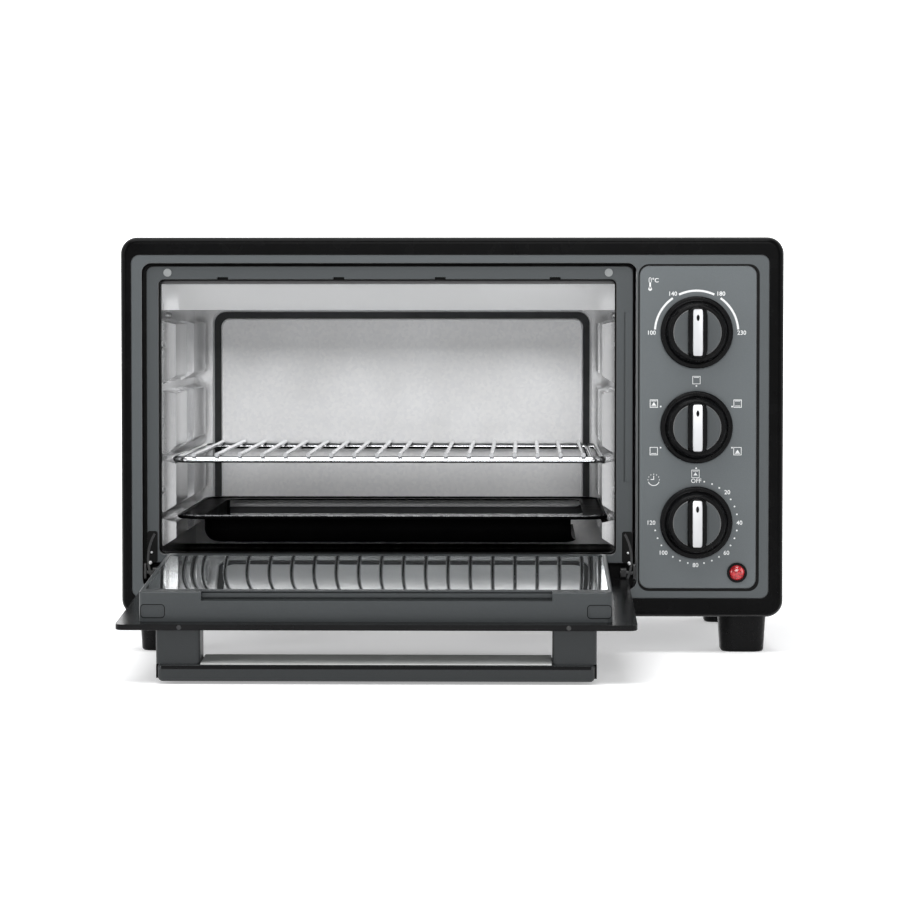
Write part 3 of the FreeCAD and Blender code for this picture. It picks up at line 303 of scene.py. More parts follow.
def moulded(name, colour, rough, grain=1600, depth=30 * MICRON, specular=0.5):
    """Moulded plastic with a fine spark-eroded grain."""
    paint = Paint(name, colour, roughness=rough, specular=specular)
    bright = tuple(min(1.0, channel * 1.2 + 0.0003) for channel in colour)
    paint.tint(paint.noise(35, 4), colour, bright)
    paint.vary_gloss(paint.noise(grain / 8, 3), rough * 0.9, rough * 1.15)
    return paint.bump(paint.noise(grain, 2), depth).material


def glass(name, tint, coating=0.0, bowed=False):
    """Door glass with a few wiped smears; coating is how much of it mirrors."""
    tinted = scaled(tint, 1.0, 1.04, 1.04)
    paint = Paint(name, tinted, metallic=coating, roughness=0.004)
    paint.set("IOR", 1.52).set("Transmission Weight", 0.95)
    paint.tint(paint.noise(9, 4), tinted, scaled(tint, 0.93, 0.97, 0.98))
    paint.vary_gloss(paint.noise(18, 5, stretch=(1, 4, 1)), 0.001, 0.008)
    if bowed:
        upright = DOOR_ANGLE - 90
        paint.bow(FRONT - 200 * MM, FRONT - 30 * MM, upright + 0.5, upright + 9.0)
    return paint.material


def lens_red():
    """Translucent red lens with a faceted inner face."""
    paint = Paint("red_lens", (0.55, 0.01, 0.02), roughness=0.12)
    paint.set("Transmission Weight", 0.25).set("Coat Weight", 0.6)
    facets = paint.cells(900)
    paint.tint(facets, (0.30, 0.003, 0.008), (0.85, 0.04, 0.05), 0.2, 0.9)
    paint.vary_gloss(paint.noise(300, 2), 0.08, 0.16)
    return paint.bump(facets, 200 * MICRON, strength=0.4).material


def heater():
    """Heating rod, darkened by heat."""
    paint = Paint("heater_sheath", grey(0.03), metallic=0.4, roughness=0.5)
    bands = paint.noise(60, 4, stretch=(4, 1, 1))
    paint.tint(bands, (0.020, 0.019, 0.018), (0.045, 0.043, 0.041))
    paint.vary_gloss(paint.noise(200, 3), 0.35, 0.6)
    return paint.bump(paint.noise(500, 3), 30 * MICRON).material


def ceramic():
    """Off-white fired clay of the heating elements' bushes."""
    paint = Paint("ceramic", (0.78, 0.75, 0.68), roughness=0.45)
    paint.tint(paint.noise(60, 4), (0.72, 0.69, 0.61), (0.84, 0.81, 0.75))
    paint.vary_gloss(paint.noise(150, 3), 0.38, 0.55)
    return paint.bump(paint.noise(800, 3), 30 * MICRON).material


def brass():
    paint = Paint("brass", (0.70, 0.50, 0.20), metallic=1.0, roughness=0.3)
    paint.tint(paint.noise(40, 4), (0.62, 0.43, 0.17), (0.76, 0.57, 0.27))
    paint.vary_gloss(paint.noise(120, 4), 0.22, 0.42)
    return paint.bump(paint.noise(600, 2), 10 * MICRON).material


def print_white():
    """Screen-printed white ink, a little uneven."""
    paint = Paint("print_white", (0.80, 0.81, 0.81), roughness=0.6)
    paint.tint(paint.noise(700, 3), (0.72, 0.73, 0.73), (0.86, 0.87, 0.87))
    return paint.bump(paint.noise(2500, 2), 10 * MICRON).material


def floor_paint():
    """Pale studio floor; its own faint light keeps the shadows soft."""
    paint = Paint("studio_floor", (0.86, 0.86, 0.865), roughness=0.75, specular=0.1)
    paint.set("Emission Color", (1, 1, 1, 1)).set("Emission Strength", 0.34)
    paint.tint(paint.noise(3, 3), (0.855, 0.855, 0.86), (0.87, 0.87, 0.875))
    return paint.material


# Which finish each CAD node gets, by the record's material slot.
FINISHES = {
    # The frame's rounded edges carry a painted highlight.
    "frame_black": black_enamel(
        "frame_black", base=0.0014, rough=0.26, specular=0.06, edge_highlight_tone=0.035
    ),
    "door_black": black_enamel("door_black", base=0.0030, rough=0.20, specular=0.12),
    "black_enamel": black_enamel("black_enamel", base=0.0015, rough=0.45, specular=0.01),
    "casing_black": moulded(
        "casing_black", (0.008, 0.008, 0.009), 0.42, grain=900, depth=40 * MICRON, specular=0.25
    ),
    # These grey finishes paint shade on side faces and highlights on rounded edges.
    "graphite": graphite("graphite", 0.053, 0.40),
    "fascia_graphite": graphite("fascia_graphite", 0.074, 0.42),
    "control_graphite": graphite("control_graphite", 0.108, 0.42),
    "handle_graphite": graphite("handle_graphite", 0.022, 0.34, paint_shade_and_highlight=False),
    "dark_steel": dark_steel(),
    "aluminised_steel": aluminised("aluminised_steel", 0.86, 0.32),
    "zinc_steel": zinc(),
    "chrome": chrome(),
    "black_plastic": moulded(
        "black_plastic", (0.002, 0.002, 0.0023), 0.28, grain=1400, depth=3 * MICRON, specular=0.11
    ),
    "ceramic": ceramic(),
    "heater_sheath": heater(),
    "red_lens": lens_red(),
    "silicone_grey": moulded("silicone_grey", (0.20, 0.21, 0.21), 0.5),
    "clear_glass": glass("clear_glass", 0.60),
    "brass": brass(),
    "wire_insulation": moulded("wire_insulation", (0.62, 0.58, 0.46), 0.6),
    "foot_rubber": moulded("foot_rubber", grey(0.012), 0.55),
    "switch_plastic": moulded("switch_plastic", (0.40, 0.30, 0.19), 0.5),
}

# Nodes whose look differs from the rest of their slot.
DARK_ZINC = zinc("dark_zinc", 0.05)
# Painted shade over the front few centimetres of the cavity's side walls.
WALL_STEEL = aluminised("wall_steel", 0.90, 0.22, shaded=(-10 * MM, 75 * MM))
NODE_FINISHES = {
    "cavity_left_wall": WALL_STEEL,
    "cavity_right_wall": WALL_STEEL,
    # Painted shade: the cavity floor under the pan is a darkened copy of the aluminised sheet.
    "cavity_floor": aluminised("shaded_floor_steel", 0.12, 0.45),
    "cavity_rear_wall": aluminised("rear_wall_steel", 0.68, 0.36),
    "wire_rack": chrome("rack_chrome", rough=0.12, shade=0.62),
    # Painted shade on the reflector's front lip, and painted light as a glow over the rest.
    "top_reflector": aluminised(
        "reflector_steel", 0.95, 0.34, metallic=0.7, shaded=(18.5 * MM, 19.5 * MM), glow=0.16
    ),
    "door_inner_frame": graphite("door_graphite", 0.046, 0.36, paint_shade_and_highlight=False),
    "inner_pane": glass("coated_glass", 0.86, coating=0.55, bowed=True),
    "hinge_bracket_left": DARK_ZINC,
    "hinge_bracket_right": DARK_ZINC,
    "hinge_lugs": DARK_ZINC,
}

# Finishes of the pieces that this script adds.
SILVER = chrome("knob_silver", rough=0.42, shade=0.62, haze_scale=90)
# With painted shade on side faces and painted highlights on rounded edges.
KNOB_FLAT = graphite("knob_graphite", 0.066, 0.36)
PRINT = print_white()
GROOVE_SHADOW = moulded("groove_shadow", (0.045, 0.048, 0.05), 0.6)
# Painted highlight: near-white finish for the groove's edges.
GROOVE_HIGHLIGHT = moulded("groove_highlight", (0.80, 0.81, 0.82), 0.4)
# Painted highlight: silver finish on the black pan's rolled rim.
RIM_HIGHLIGHT_SILVER = chrome("rim_highlight_silver", rough=0.22, shade=0.36)
# Painted reflection: light grey finish for the handle bar's inner face.
HANDLE_REFLECTION = moulded("handle_painted_reflection", (0.44, 0.45, 0.44), 0.45)


def finish_nodes():
    """Gives every CAD node its material."""
    for row in frame["record"]["subparts"]:
        node = frame["nodes"][row["node"]]
        finish = NODE_FINISHES.get(row["node"], FINISHES[row["material_slot"]])
        node.data.materials.clear()
        node.data.materials.append(finish)


finish_nodes()


# --------------------------------------------------------------- mesh helpers


def middle_of(node):
    """Centre of a node's box at rest."""
    low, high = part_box(node)
    return [(low[axis] + high[axis]) / 2 for axis in range(3)]


def make_piece(name, mesh, material, body, smooth=30):
    """Turns a bmesh into a named piece that rides on a body; smooth is an angle in degrees."""
    bmesh.ops.recalc_face_normals(mesh, faces=mesh.faces)
    data = bpy.data.meshes.new(name)
    mesh.to_mesh(data)
    mesh.free()
    data.materials.append(material)
    data.shade_smooth()
    data.set_sharp_from_angle(angle=math.radians(smooth))
    item = bpy.data.objects.new(name, data)
    bpy.context.collection.objects.link(item)
    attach(item, body)
    return item


def add_loop(mesh, outline, y):
    """Vertices at one depth along an outline of (x, z) points."""
    return [mesh.verts.new((x, y, z)) for x, z in outline]


def join_loops(mesh, loops):
    """Four-sided faces from each loop of vertices to the next."""
    for near, far in zip(loops, loops[1:]):
        for index in range(len(near)):
            after = (index + 1) % len(near)
            mesh.faces.new((near[index], near[after], far[after], far[index]))


def close_ends(mesh, loops):
    """A face over the first loop and one over the last."""
    mesh.faces.new(loops[0])
    mesh.faces.new(list(reversed(loops[-1])))


def add_prism(mesh, outline, front, back, bevel=0.0):
    """Closed outline of (x, z) points, filled from front to back along Y."""
    levels = [(front, 0.0), (back, 0.0)]
    if bevel:
        levels = [(front, bevel), (front + bevel, 0.0), (back, 0.0)]
    centre = Vector((sum(x for x, _ in outline), sum(z for _, z in outline))) / len(outline)
    loops = []
    for y, shrink in levels:
        steps = [(centre - Vector(point)).normalized() * shrink for point in outline]
        moved = [(x + step.x, z + step.y) for (x, z), step in zip(outline, steps)]
        loops.append(add_loop(mesh, moved, y))
    join_loops(mesh, loops)
    close_ends(mesh, loops)


def add_ring_plate(mesh, outer, inner, front, back):
    """Flat frame between two outlines that have the same number of points."""
    corners = ((outer, front), (inner, front), (inner, back), (outer, back))
    loops = [add_loop(mesh, outline, y) for outline, y in corners]
    join_loops(mesh, loops + loops[:1])


def disc_points(x, z, radius, count=20, shift=0.0):
    """Points round a circle; shift turns them by a share of one step."""
    turns = [2 * math.pi * (index + shift) / count for index in range(count)]
    return [(x + radius * math.cos(turn), z + radius * math.sin(turn)) for turn in turns]


def arc_points(x, z, radius, start, end, count):
    """Points along an arc, angles in degrees anticlockwise from the right."""
    points = []
    for index in range(count + 1):
        turn = math.radians(start + (end - start) * index / count)
        points.append((x + radius * math.cos(turn), z + radius * math.sin(turn)))
    return points


def box_points(left, right, low, high):
    return [(left, low), (right, low), (right, high), (left, high)]


def rounded_points(left, right, low, high, radius, steps=6):
    """Rounded rectangle, from the low right corner anticlockwise."""
    corners = (
        (right - radius, low + radius, -90), (right - radius, high - radius, 0),
        (left + radius, high - radius, 90), (left + radius, low + radius, 180),
    )
    points = []
    for x, z, start in corners:
        points += arc_points(x, z, radius, start, start + 90, steps)
    return points


def add_band(mesh, x, z, radius, width, start, end, front, back, count=24):
    """A curved band as a run of four-sided cells."""
    for index in range(count):
        first = start + (end - start) * index / count
        last = start + (end - start) * (index + 1) / count
        cell = arc_points(x, z, radius + width / 2, first, last, 1)
        cell += arc_points(x, z, radius - width / 2, last, first, 1)
        add_prism(mesh, cell, front, back)


def add_round_head(mesh, place, axis, radius, height):
    """Domed screw or rivet head that stands off a surface along an axis."""
    turn = Vector((0, 0, 1)).rotation_difference(Vector(axis)).to_matrix().to_4x4()
    spot = Matrix.Translation(place) @ turn
    dome = ((1.0, 0.0), (1.0, 0.35), (0.86, 0.72), (0.55, 0.94), (0.2, 1.0))
    loops = []
    for share, up in dome:
        circle = disc_points(0, 0, share * radius)
        loops.append([mesh.verts.new(spot @ Vector((a, b, up * height))) for a, b in circle])
    join_loops(mesh, loops)
    close_ends(mesh, loops)


# ------------------------------------------------------------- printed scales

PANEL_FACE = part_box("control_panel")[0][1]
PRINT_LIFT = 0.06 * MM
PRINT_FRONT = PANEL_FACE - PRINT_LIFT
TEXT_HEIGHT = 3.1 * MM
CAPITAL_SHARE = 0.72
STROKE_SPREAD = 0.05 * MM
SCALE_RADIUS = 29.9 * MM


def add_text(mesh, words, x, z):
    """Raised lettering centred on a point of the control panel."""
    curve = bpy.data.curves.new("lettering", "FONT")
    curve.body = words
    curve.size = TEXT_HEIGHT / CAPITAL_SHARE
    curve.align_x = "CENTER"
    curve.align_y = "CENTER"
    curve.extrude = PRINT_LIFT / 2
    curve.resolution_u = 3
    curve.offset = STROKE_SPREAD
    holder = bpy.data.objects.new("lettering", curve)
    data = bpy.data.meshes.new_from_object(holder)
    upright = Matrix.Rotation(math.radians(90), 4, "X")
    data.transform(Matrix.Translation((x, PRINT_FRONT + PRINT_LIFT / 2, z)) @ upright)
    mesh.from_mesh(data)
    bpy.data.objects.remove(holder)
    bpy.data.curves.remove(curve)
    bpy.data.meshes.remove(data)


def add_labels(mesh, x, z, labels):
    """Each label is its words and its place in millimetres from the knob's centre."""
    for words, across, up in labels:
        add_text(mesh, words, x + across * MM, z + up * MM)


def add_mark(mesh, outline):
    add_prism(mesh, outline, PRINT_FRONT, PANEL_FACE)


def add_printed_arc(mesh, x, z, radius, width, start, end, count=24):
    add_band(mesh, x, z, radius, width, start, end, PRINT_FRONT, PANEL_FACE, count)


def add_dot(mesh, x, z, reach, angle, radius=0.62 * MM, count=12):
    """Printed dot at a distance and an angle from a centre."""
    turn = math.radians(angle)
    place = (x + reach * math.cos(turn), z + reach * math.sin(turn))
    add_mark(mesh, disc_points(*place, radius, count))


def add_thermometer(mesh, x, z):
    """Bulb, filled lower stem, and a hollow upper stem with a round end."""
    add_mark(mesh, disc_points(x, z, 1.35 * MM))
    add_mark(mesh, box_points(x - 0.55 * MM, x + 0.55 * MM, z, z + 4.6 * MM))
    low, high = z + 4.6 * MM, z + 7.2 * MM
    for side in (-0.95, 0.60):
        add_mark(mesh, box_points(x + side * MM, x + (side + 0.35) * MM, low, high))
    add_printed_arc(mesh, x, high, 0.78 * MM, 0.35 * MM, 0, 180, 8)


def print_temperature_scale():
    """Three arcs, four numbers and a thermometer sign."""
    x, _, z = middle_of("temperature_knob")
    mesh = bmesh.new()
    for start, end in ((176, 125), (115, 65), (55, 4)):
        add_printed_arc(mesh, x, z, SCALE_RADIUS, 1.5 * MM, start, end)
    labels = (
        ("100", -32.4, -0.4), ("140", -17.2, 27.6), ("180", 17.3, 27.6),
        ("230", 32.4, -0.4), ("°C", -29.6, 37.2),
    )
    add_labels(mesh, x, z, labels)
    add_thermometer(mesh, x - 33.4 * MM, z + 31.2 * MM)
    make_piece("temperature_scale", mesh, PRINT, "housing")


def add_square(mesh, x, z, half, line):
    """Outline of a square as four strips."""
    for low, high in ((-half, -half + line), (half - line, half)):
        add_mark(mesh, box_points(x - half, x + half, z + low, z + high))
    for left, right in ((-half, -half + line), (half - line, half)):
        add_mark(mesh, box_points(x + left, x + right, z - half + line, z + half - line))


def add_oven_sign(mesh, x, z, top, bottom, fan):
    """Square oven sign with its heating bars and, where there is one, a fan blade."""
    half, line, bar = 2.9 * MM, 0.42 * MM, 1.9 * MM
    add_square(mesh, x, z, half, line)
    for up in [1.7 * MM] * top + [-bar] * bottom:
        add_mark(mesh, box_points(x - bar, x + bar, z + up, z + up + line))
    if fan:
        blade = [(x - 1.5 * MM, z - 1.2 * MM), (x + 1.5 * MM, z - 1.2 * MM), (x, z + 1.1 * MM)]
        add_mark(mesh, blade)


def print_function_scale():
    """Six oven signs, each with a dot on its knob side."""
    x, _, z = middle_of("function_knob")
    mesh = bmesh.new()
    # Angle of the dot, place of the sign in millimetres, top bar, bottom bar, fan.
    signs = (
        (90, 0.0, 33.8, True, False, False),
        (30, 29.6, 16.9, True, True, False),
        (-30, 29.6, -17.3, False, True, True),
        (-90, -0.5, -33.6, True, False, True),
        (-150, -30.5, -17.3, False, True, False),
        (150, -30.5, 16.9, True, True, True),
    )
    for angle, across, up, top, bottom, fan in signs:
        add_oven_sign(mesh, x + across * MM, z + up * MM, top, bottom, fan)
        add_dot(mesh, x, z, 29.6 * MM, angle)
    make_piece("function_scale", mesh, PRINT, "housing")


def add_clock(mesh, x, z):
    """Clock sign: dots over the upper half, an arc below, and two hands."""
    radius, line = 4.1 * MM, 0.25 * MM
    for step in range(7):
        add_dot(mesh, x, z, radius, 30 * step, 0.33 * MM, 8)
    add_printed_arc(mesh, x, z, radius, 2 * line, 200, 340)
    add_mark(mesh, box_points(x - line, x + line, z, z + 2.9 * MM))
    add_mark(mesh, box_points(x - 2.2 * MM, x - line, z, z + 2 * line))


def print_timer_scale():
    """OFF, then minutes every 45 degrees with three dots between them."""
    x, _, z = middle_of("timer_knob")
    mesh = bmesh.new()
    labels = (
        ("OFF", 0.0, 29.8), ("20", 22.4, 21.6), ("40", 31.2, -0.4), ("60", 21.9, -22.1),
        ("80", -0.3, -31.0), ("100", -23.6, -22.1), ("120", -32.4, -0.4),
    )
    add_labels(mesh, x, z, labels)
    for step in range(1, 24):
        if step % 4:
            add_dot(mesh, x, z, SCALE_RADIUS, 90 - 11.25 * step)
    add_clock(mesh, x - 30.5 * MM, z + 30.6 * MM)
    make_piece("timer_scale", mesh, PRINT, "housing")


print_temperature_scale()
print_function_scale()
print_timer_scale()


# --------------------------------------------------------------------- knobs

KNOBS = (
    ("temperature", "temperature_control"),
    ("function", "function_control"),
    ("timer", "timer_control"),
)


def add_knob_flats(dial, body):
    """Two D-shaped plates, one each side of the grip, with bevelled edges."""
    x, _, z = middle_of(dial + "_knob")
    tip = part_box(dial + "_knob")[0][1]
    face = tip + 8 * MM
    half_angle = 68
    mesh = bmesh.new()
    for side in (0, 180):
        start, end = side - half_angle, side + half_angle
        outline = arc_points(x, z, 17.3 * MM, start, end, 28)
        add_prism(mesh, outline, face - 0.5 * MM, face + 1.9 * MM, bevel=0.7 * MM)
    flats = make_piece(dial + "_knob_flats", mesh, KNOB_FLAT, body)


def add_knob_rim(dial, body):
    """Fine raised line where the drum meets the skirt."""
    x, _, z = middle_of(dial + "_knob")
    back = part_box(dial + "_knob")[1][1]
    # Radius and place before the skirt's back, in millimetres.
    section = ((22.2, -4.0), (22.35, -4.5), (22.75, -4.7), (23.1, -4.45), (23.2, -4.0))
    mesh = bmesh.new()
    loops = [
        add_loop(mesh, disc_points(x, z, radius * MM, 72), back + y * MM)
        for radius, y in section
    ]
    join_loops(mesh, loops + loops[:1])
    rim = make_piece(dial + "_knob_rim", mesh, FINISHES["black_plastic"], body)


def add_insert_body(mesh, node):
    """Strip that fills a node's box, with sloped ends and bevelled long edges."""
    low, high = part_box(node)
    centre = middle_of(node)
    half_width = (high[0] - low[0]) / 2
    half_length = (high[2] - low[2]) / 2
    front, back = low[1], high[1]
    bevel = 0.35 * MM
    slope = (
        (half_length - 4.8 * MM, front), (half_length - 4.2 * MM, front + 0.1 * MM),
        (half_length, front + 1.0 * MM), (half_length, back),
    )
    profile = [(-up, y) for up, y in reversed(slope)] + list(slope)
    loops = []
    for across, drop in (
        (-half_width, bevel), (-half_width + bevel, 0.0),
        (half_width - bevel, 0.0), (half_width, bevel),
    ):
        loops.append([
            mesh.verts.new((centre[0] + across, min(y + drop, back), centre[2] + up))
            for up, y in profile
        ])
    join_loops(mesh, loops)
    close_ends(mesh, loops)


def add_knob_insert(dial, body):
    """Bright pointer strip in place of the plain one, with an oval mark near its end."""
    node = dial + "_knob_pointer"
    mesh = bmesh.new()
    add_insert_body(mesh, node)
    insert = make_piece(dial + "_knob_insert", mesh, SILVER, body, smooth=12)
    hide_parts(node)
    x, _, z = middle_of(node)
    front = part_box(node)[0][1]
    oval = [(x + 1.1 * MM * a, z + 10.5 * MM + 2.3 * MM * b) for a, b in disc_points(0, 0, 1, 24)]
    mesh = bmesh.new()
    add_prism(mesh, oval, front - 0.15 * MM, front + 0.2 * MM)
    dot = make_piece(dial + "_knob_mark", mesh, FINISHES["black_plastic"], body)


for dial_name, dial_body in KNOBS:
    add_knob_flats(dial_name, dial_body)
    add_knob_rim(dial_name, dial_body)
    add_knob_insert(dial_name, dial_body)


# ----------------------------------------------- lamp, cavity and panel pieces


def add_lamp_lens():
    """Domed red lens cut in facets, in place of the plain dome."""
    low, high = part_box("indicator_lens")
    x, _, z = middle_of("indicator_lens")
    radius = (high[0] - low[0]) / 2
    front, back = low[1], high[1]
    levels = (
        (1.0, back), (1.0, front + 2.6 * MM), (0.82, front + 1.2 * MM),
        (0.52, front + 0.35 * MM), (0.2, front),
    )
    sides = 14
    mesh = bmesh.new()
    loops = []
    for index, (share, y) in enumerate(levels):
        circle = disc_points(x, z, share * radius, sides, shift=0.5 * (index % 2))
        loops.append(add_loop(mesh, circle, y))
    for level, (near, far) in enumerate(zip(loops, loops[1:])):
        for step in range(sides):
            after = (step + 1) % sides
            if level % 2 == 0:
                mesh.faces.new((near[step], near[after], far[step]))
                mesh.faces.new((far[step], near[after], far[after]))
            else:
                mesh.faces.new((near[step], far[after], far[step]))
                mesh.faces.new((near[step], near[after], far[after]))
    close_ends(mesh, loops)
    lens = make_piece("lamp_lens", mesh, FINISHES["red_lens"], "housing", smooth=5)
    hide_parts("indicator_lens")


def add_cavity_rivets():
    """Rivets that hold the reflector and the front edges of the cavity walls."""
    sheet = 0.6 * MM
    low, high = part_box("cavity_left_wall")
    left = low[0] + sheet
    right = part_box("cavity_right_wall")[1][0] - sheet
    reflector_low, reflector_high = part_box("top_reflector")
    heads = [
        (low[1] + 8 * MM, low[2] + share * (high[2] - low[2]), 2.6 * MM)
        for share in (0.3, 0.78)
    ]
    heads += [
        (reflector_high[1] + behind, reflector_low[2] - 4 * MM, 2.2 * MM)
        for behind in (18 * MM, 34 * MM)
    ]
    mesh = bmesh.new()
    for y, z, radius in heads:
        for x, inward in ((left, 1), (right, -1)):
            add_round_head(mesh, (x, y, z), (inward, 0, 0), radius, 1.6 * MM)
    rivets = make_piece("cavity_rivets", mesh, FINISHES["zinc_steel"], "housing")


def groove_points(inset, radius):
    """Rounded outline set in from the pressed groove's outer edge, in millimetres."""
    low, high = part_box("cavity_rear_wall")
    return rounded_points(
        low[0] + (15.6 + inset) * MM,
        high[0] - (14.2 + inset) * MM,
        low[2] + (33.0 + inset) * MM,
        high[2] - (24.1 + inset) * MM,
        radius * MM,
    )


def add_groove_shade():
    """Painted shade: a dark strip that lies in the pressed groove of the cavity's back."""
    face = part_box("cavity_rear_wall")[0][1]
    outer, inner = groove_points(0.9, 9.2), groove_points(6.0, 7.2)
    mesh = bmesh.new()
    add_ring_plate(mesh, outer, inner, face + 0.9 * MM, face + 3.8 * MM)
    shade_strip = make_piece("rear_wall_groove_shade", mesh, GROOVE_SHADOW, "housing")


def add_groove_highlights():
    """Painted highlights: bright strips on the rolled edges on both sides of the groove."""
    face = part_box("cavity_rear_wall")[0][1]
    mesh = bmesh.new()
    for inset, radius in ((-0.6, 10.4), (6.4, 7.0)):
        outer, inner = groove_points(inset, radius), groove_points(inset + 0.8, radius - 0.6)
        add_ring_plate(mesh, outer, inner, face - 0.25 * MM, face + 0.5 * MM)
    highlights = make_piece("rear_wall_groove_highlights", mesh, GROOVE_HIGHLIGHT, "housing")


def add_panel_gap_shade():
    """Painted shade: a black strip in the gap round the control panel, wider on the right and below where the
    shadow falls.
    """
    low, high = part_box("control_panel")
    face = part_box("fascia")[0][1]
    outer = rounded_points(
        low[0] - 0.8 * MM, high[0] + 2.0 * MM, low[2] - 1.9 * MM, high[2] + 1.2 * MM, 7.6 * MM
    )
    inner = rounded_points(low[0], high[0], low[2], high[2], 7.0 * MM)
    mesh = bmesh.new()
    add_ring_plate(mesh, outer, inner, face - 0.06 * MM, face + 1.2 * MM)
    gap_shade = make_piece("panel_gap_shade", mesh, FINISHES["dark_steel"], "housing")


def add_pan_rim():
    """Rolled wire-like edge round the pan's flange, in a silver finish that paints its highlight."""
    low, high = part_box("baking_pan")
    outline = rounded_points(low[0], high[0], low[1], high[1], 22 * MM, 10)
    centre = Vector(((low[0] + high[0]) / 2, (low[1] + high[1]) / 2))
    radius = 0.75 * MM
    section = disc_points(radius, high[2] - 0.6 * radius, radius, 8)
    mesh = bmesh.new()
    loops = []
    for x, y in outline:
        inward = (centre - Vector((x, y))).normalized()
        loops.append([
            mesh.verts.new((x + inward.x * reach, y + inward.y * reach, z))
            for reach, z in section
        ])
    join_loops(mesh, loops + loops[:1])
    rim = make_piece("baking_pan_rim", mesh, RIM_HIGHLIGHT_SILVER, "pan")


def add_hinge_pocket_shade_and_arms():
    """Black plates of painted shade over the hinge pockets at the seat frame's lower corners, with the hinge arms
    in them.
    """
    low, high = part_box("seat_frame")
    margin = 0.1 * MM
    face, foot = low[1], low[2] + margin
    pocket_shade, arms, rivets = bmesh.new(), bmesh.new(), bmesh.new()
    for edge, inward, start in ((low[0] + margin, 1, 150), (high[0] - margin, -1, -30)):
        left, right = sorted((edge, edge + inward * 7.4 * MM))
        outline = rounded_points(left, right, foot, foot + 22.7 * MM, 1.6 * MM, 4)
        add_prism(pocket_shade, outline, face - 0.2 * MM, face + 0.6 * MM)
        arc = (edge + inward * 36.5 * MM, foot + 2.7 * MM, 36 * MM, 1.7 * MM)
        add_band(arms, *arc, start, start + 60, face - 0.45 * MM, face - 0.1 * MM, 12)
        for x, z, radius in ((2.1, -0.3, 1.3), (3.1, 7.2, 0.9)):
            place = (edge + inward * x * MM, face - 0.4 * MM, foot + z * MM)
            add_round_head(rivets, place, (0, -1, 0), radius * MM, 0.4 * MM)
    for name, mesh, finish, slot in (
        ("hinge_pocket_shade", pocket_shade, FINISHES["dark_steel"], "dark_steel"),
        ("hinge_arms", arms, DARK_ZINC, "zinc_steel"),
        ("hinge_rivets", rivets, FINISHES["zinc_steel"], "zinc_steel"),
    ):
        make_piece(name, mesh, finish, "housing")


# ---------------------------------------------------------------- door pieces

# Door pieces are drawn on the shut door, then turned with it to its place at rest.
DOOR_OPEN = (
    Matrix.Translation(HINGE)
    @ Matrix.Rotation(math.radians(DOOR_ANGLE), 4, "X")
    @ Matrix.Translation(-HINGE)
)
# Lays what is drawn facing the front at Y = -height on top, at Z = height.
ON_TOP_EDGE = Matrix.Rotation(math.radians(-90), 4, "X")


def shut_box(name):
    """Lowest and highest corner of a door node as it stands with the door shut."""
    shut = DOOR_OPEN.inverted()
    points = [shut @ vertex.co for vertex in frame["nodes"][name].data.vertices]
    return [[pick(point[axis] for point in points) for axis in range(3)] for pick in (min, max)]


def add_handle_reflection_and_shade():
    """Painted reflection: a light sheet on the inner side of the handle bar; painted shade: a dark line along its
    edge.
    """
    low, high = shut_box("handle_bar")
    back, top = high[1], high[2]
    inset = 28.4 * MM
    # Painted reflection of the bright surroundings on the bar's inner face.
    outline = box_points(low[0] + inset, high[0] - inset, low[2] - 4.8 * MM, top - 0.7 * MM)
    mesh = bmesh.new()
    add_prism(mesh, outline, back, back + 0.7 * MM)
    mesh.transform(DOOR_OPEN)
    piece = make_piece("handle_painted_reflection", mesh, HANDLE_REFLECTION, "door")
    inset = 2.4 * MM
    # Painted shade along the bar's rounded top edge.
    outline = box_points(low[0] + inset, high[0] - inset, back - 2.9 * MM, back - 0.5 * MM)
    mesh = bmesh.new()
    add_prism(mesh, outline, -top - 0.15 * MM, -top + 0.3 * MM)
    mesh.transform(ON_TOP_EDGE)
    mesh.transform(DOOR_OPEN)
    piece = make_piece("handle_edge_shade_line", mesh, FINISHES["black_plastic"], "door")


def add_rail_press_shade():
    """Painted shade: dark lines round the two pressed fields at the ends of the door's upper rail."""
    low, high = shut_box("door_inner_frame")
    near, far, top = high[1] - 17.7 * MM, high[1] - 8.3 * MM, high[2]
    line, corner = 0.4 * MM, 2.6 * MM
    mesh = bmesh.new()
    for left in (low[0] + 1.0 * MM, high[0] - 17.0 * MM):
        right = left + 16.4 * MM
        outer = rounded_points(left, right, near, far, corner)
        inner = rounded_points(left + line, right - line, near + line, far - line, corner - line)
        add_ring_plate(mesh, outer, inner, -top - 0.08 * MM, -top + 0.3 * MM)
    mesh.transform(ON_TOP_EDGE)
    mesh.transform(DOOR_OPEN)
    shade_lines = make_piece("rail_press_shade_lines", mesh, FINISHES["black_enamel"], "door")


def add_panel_screws():
    """Two small screw heads let into the panel's upper edge."""
    low, high = shut_box("door_panel")
    mesh = bmesh.new()
    for x in (low[0] + 42.6 * MM, high[0] - 45.4 * MM):
        place = (x, low[1] + 2.0 * MM, high[2] - 0.1 * MM)
        add_round_head(mesh, place, (0, 0, 1), 1.6 * MM, 0.5 * MM)
    mesh.transform(DOOR_OPEN)
    screws = make_piece("panel_edge_screws", mesh, DARK_ZINC, "door")


add_lamp_lens()
add_cavity_rivets()
add_groove_shade()
add_groove_highlights()
add_panel_gap_shade()
add_pan_rim()
add_handle_reflection_and_shade()
add_rail_press_shade()
add_panel_screws()
add_hinge_pocket_shade_and_arms()


# ---------------------------------------------------------- stage and camera

EYE = Vector((0.0529, FRONT - 2.5, 0.2514))
LOOK_AT = Vector((-0.0011, FRONT, 0.1470))
LENS = 139.04
SENSOR = 36.0

# Metres.
FLOOR_NEAR = -6.0
FLOOR_FAR = 2.2
FLOOR_HALF_WIDTH = 6.0
BEND_RADIUS = 1.5
BACKDROP_TOP = 5.0

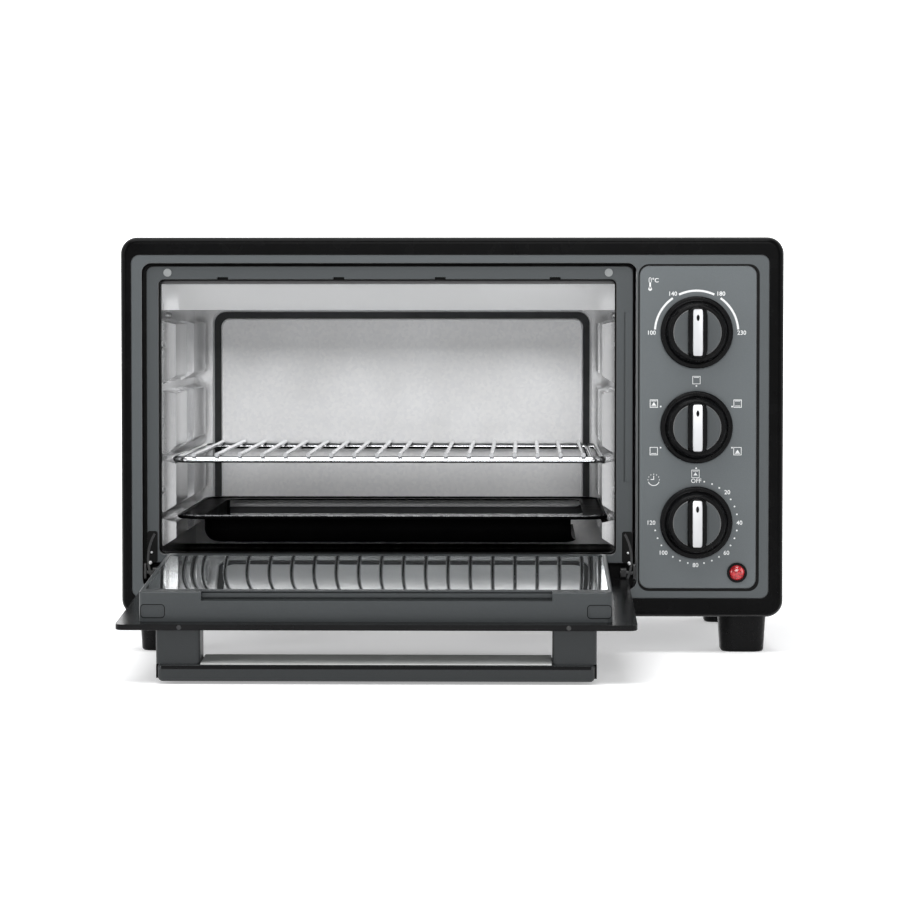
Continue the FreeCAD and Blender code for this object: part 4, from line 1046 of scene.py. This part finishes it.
OVEN_MIDDLE = (0, 0, 0.15)
# Name, place, target, size, power in watts.
LIGHTS = (
    ("top_box", (-0.25, -0.9, 2.0), OVEN_MIDDLE, (1.8, 1.2), 34),
    ("left_box", (-1.9, -1.2, 0.9), OVEN_MIDDLE, (0.8, 1.4), 16),
    ("right_box", (1.9, -1.0, 0.9), OVEN_MIDDLE, (0.6, 1.4), 9),
    ("front_fill", (0.1, -2.9, 0.95), (0, 0.1, 0.15), (1.2, 0.7), 20),
    ("backdrop_light", (0, 1.2, 2.6), (0, 3.6, 1.0), (3.0, 1.0), 120),
)
SKY_COLOUR = (0.96, 0.98, 1.0, 1)
SKY_STRENGTH = 0.26


def look_at(item, target):
    item.rotation_euler = (Vector(target) - item.location).to_track_quat("-Z", "Y").to_euler()


def add_camera():
    data = bpy.data.cameras.new("camera")
    data.lens = LENS
    data.sensor_width = SENSOR
    camera = bpy.data.objects.new("camera", data)
    bpy.context.collection.objects.link(camera)
    camera.location = EYE
    look_at(camera, LOOK_AT)
    bpy.context.scene.camera = camera


def add_stage():
    """A pale floor that curves up into a backdrop."""
    profile = [(FLOOR_NEAR, 0.0), (FLOOR_FAR, 0.0)]
    profile += arc_points(FLOOR_FAR, BEND_RADIUS, BEND_RADIUS, -90, 0, 8)[1:]
    profile.append((FLOOR_FAR + BEND_RADIUS, BACKDROP_TOP))
    verts = [(x, y, z) for y, z in profile for x in (-FLOOR_HALF_WIDTH, FLOOR_HALF_WIDTH)]
    faces = [(i, i + 1, i + 3, i + 2) for i in range(0, len(verts) - 2, 2)]
    mesh = bpy.data.meshes.new("studio_floor")
    mesh.from_pydata(verts, [], faces)
    mesh.shade_smooth()
    floor = bpy.data.objects.new("studio_floor", mesh)
    floor.data.materials.append(floor_paint())
    bpy.context.collection.objects.link(floor)


def add_light(name, place, target, size, power):
    data = bpy.data.lights.new(name, "AREA")
    data.shape = "RECTANGLE"
    data.size, data.size_y = size
    data.energy = power
    light = bpy.data.objects.new(name, data)
    light.location = place
    bpy.context.collection.objects.link(light)
    look_at(light, target)


def add_lighting():
    for row in LIGHTS:
        add_light(*row)
    world = bpy.data.worlds.new("studio")
    world.use_nodes = True
    sky = world.node_tree.nodes["Background"]
    sky.inputs["Color"].default_value = SKY_COLOUR
    sky.inputs["Strength"].default_value = SKY_STRENGTH
    bpy.context.scene.world = world
    bpy.context.scene.view_settings.view_transform = "Standard"


add_camera()
add_stage()
add_lighting()
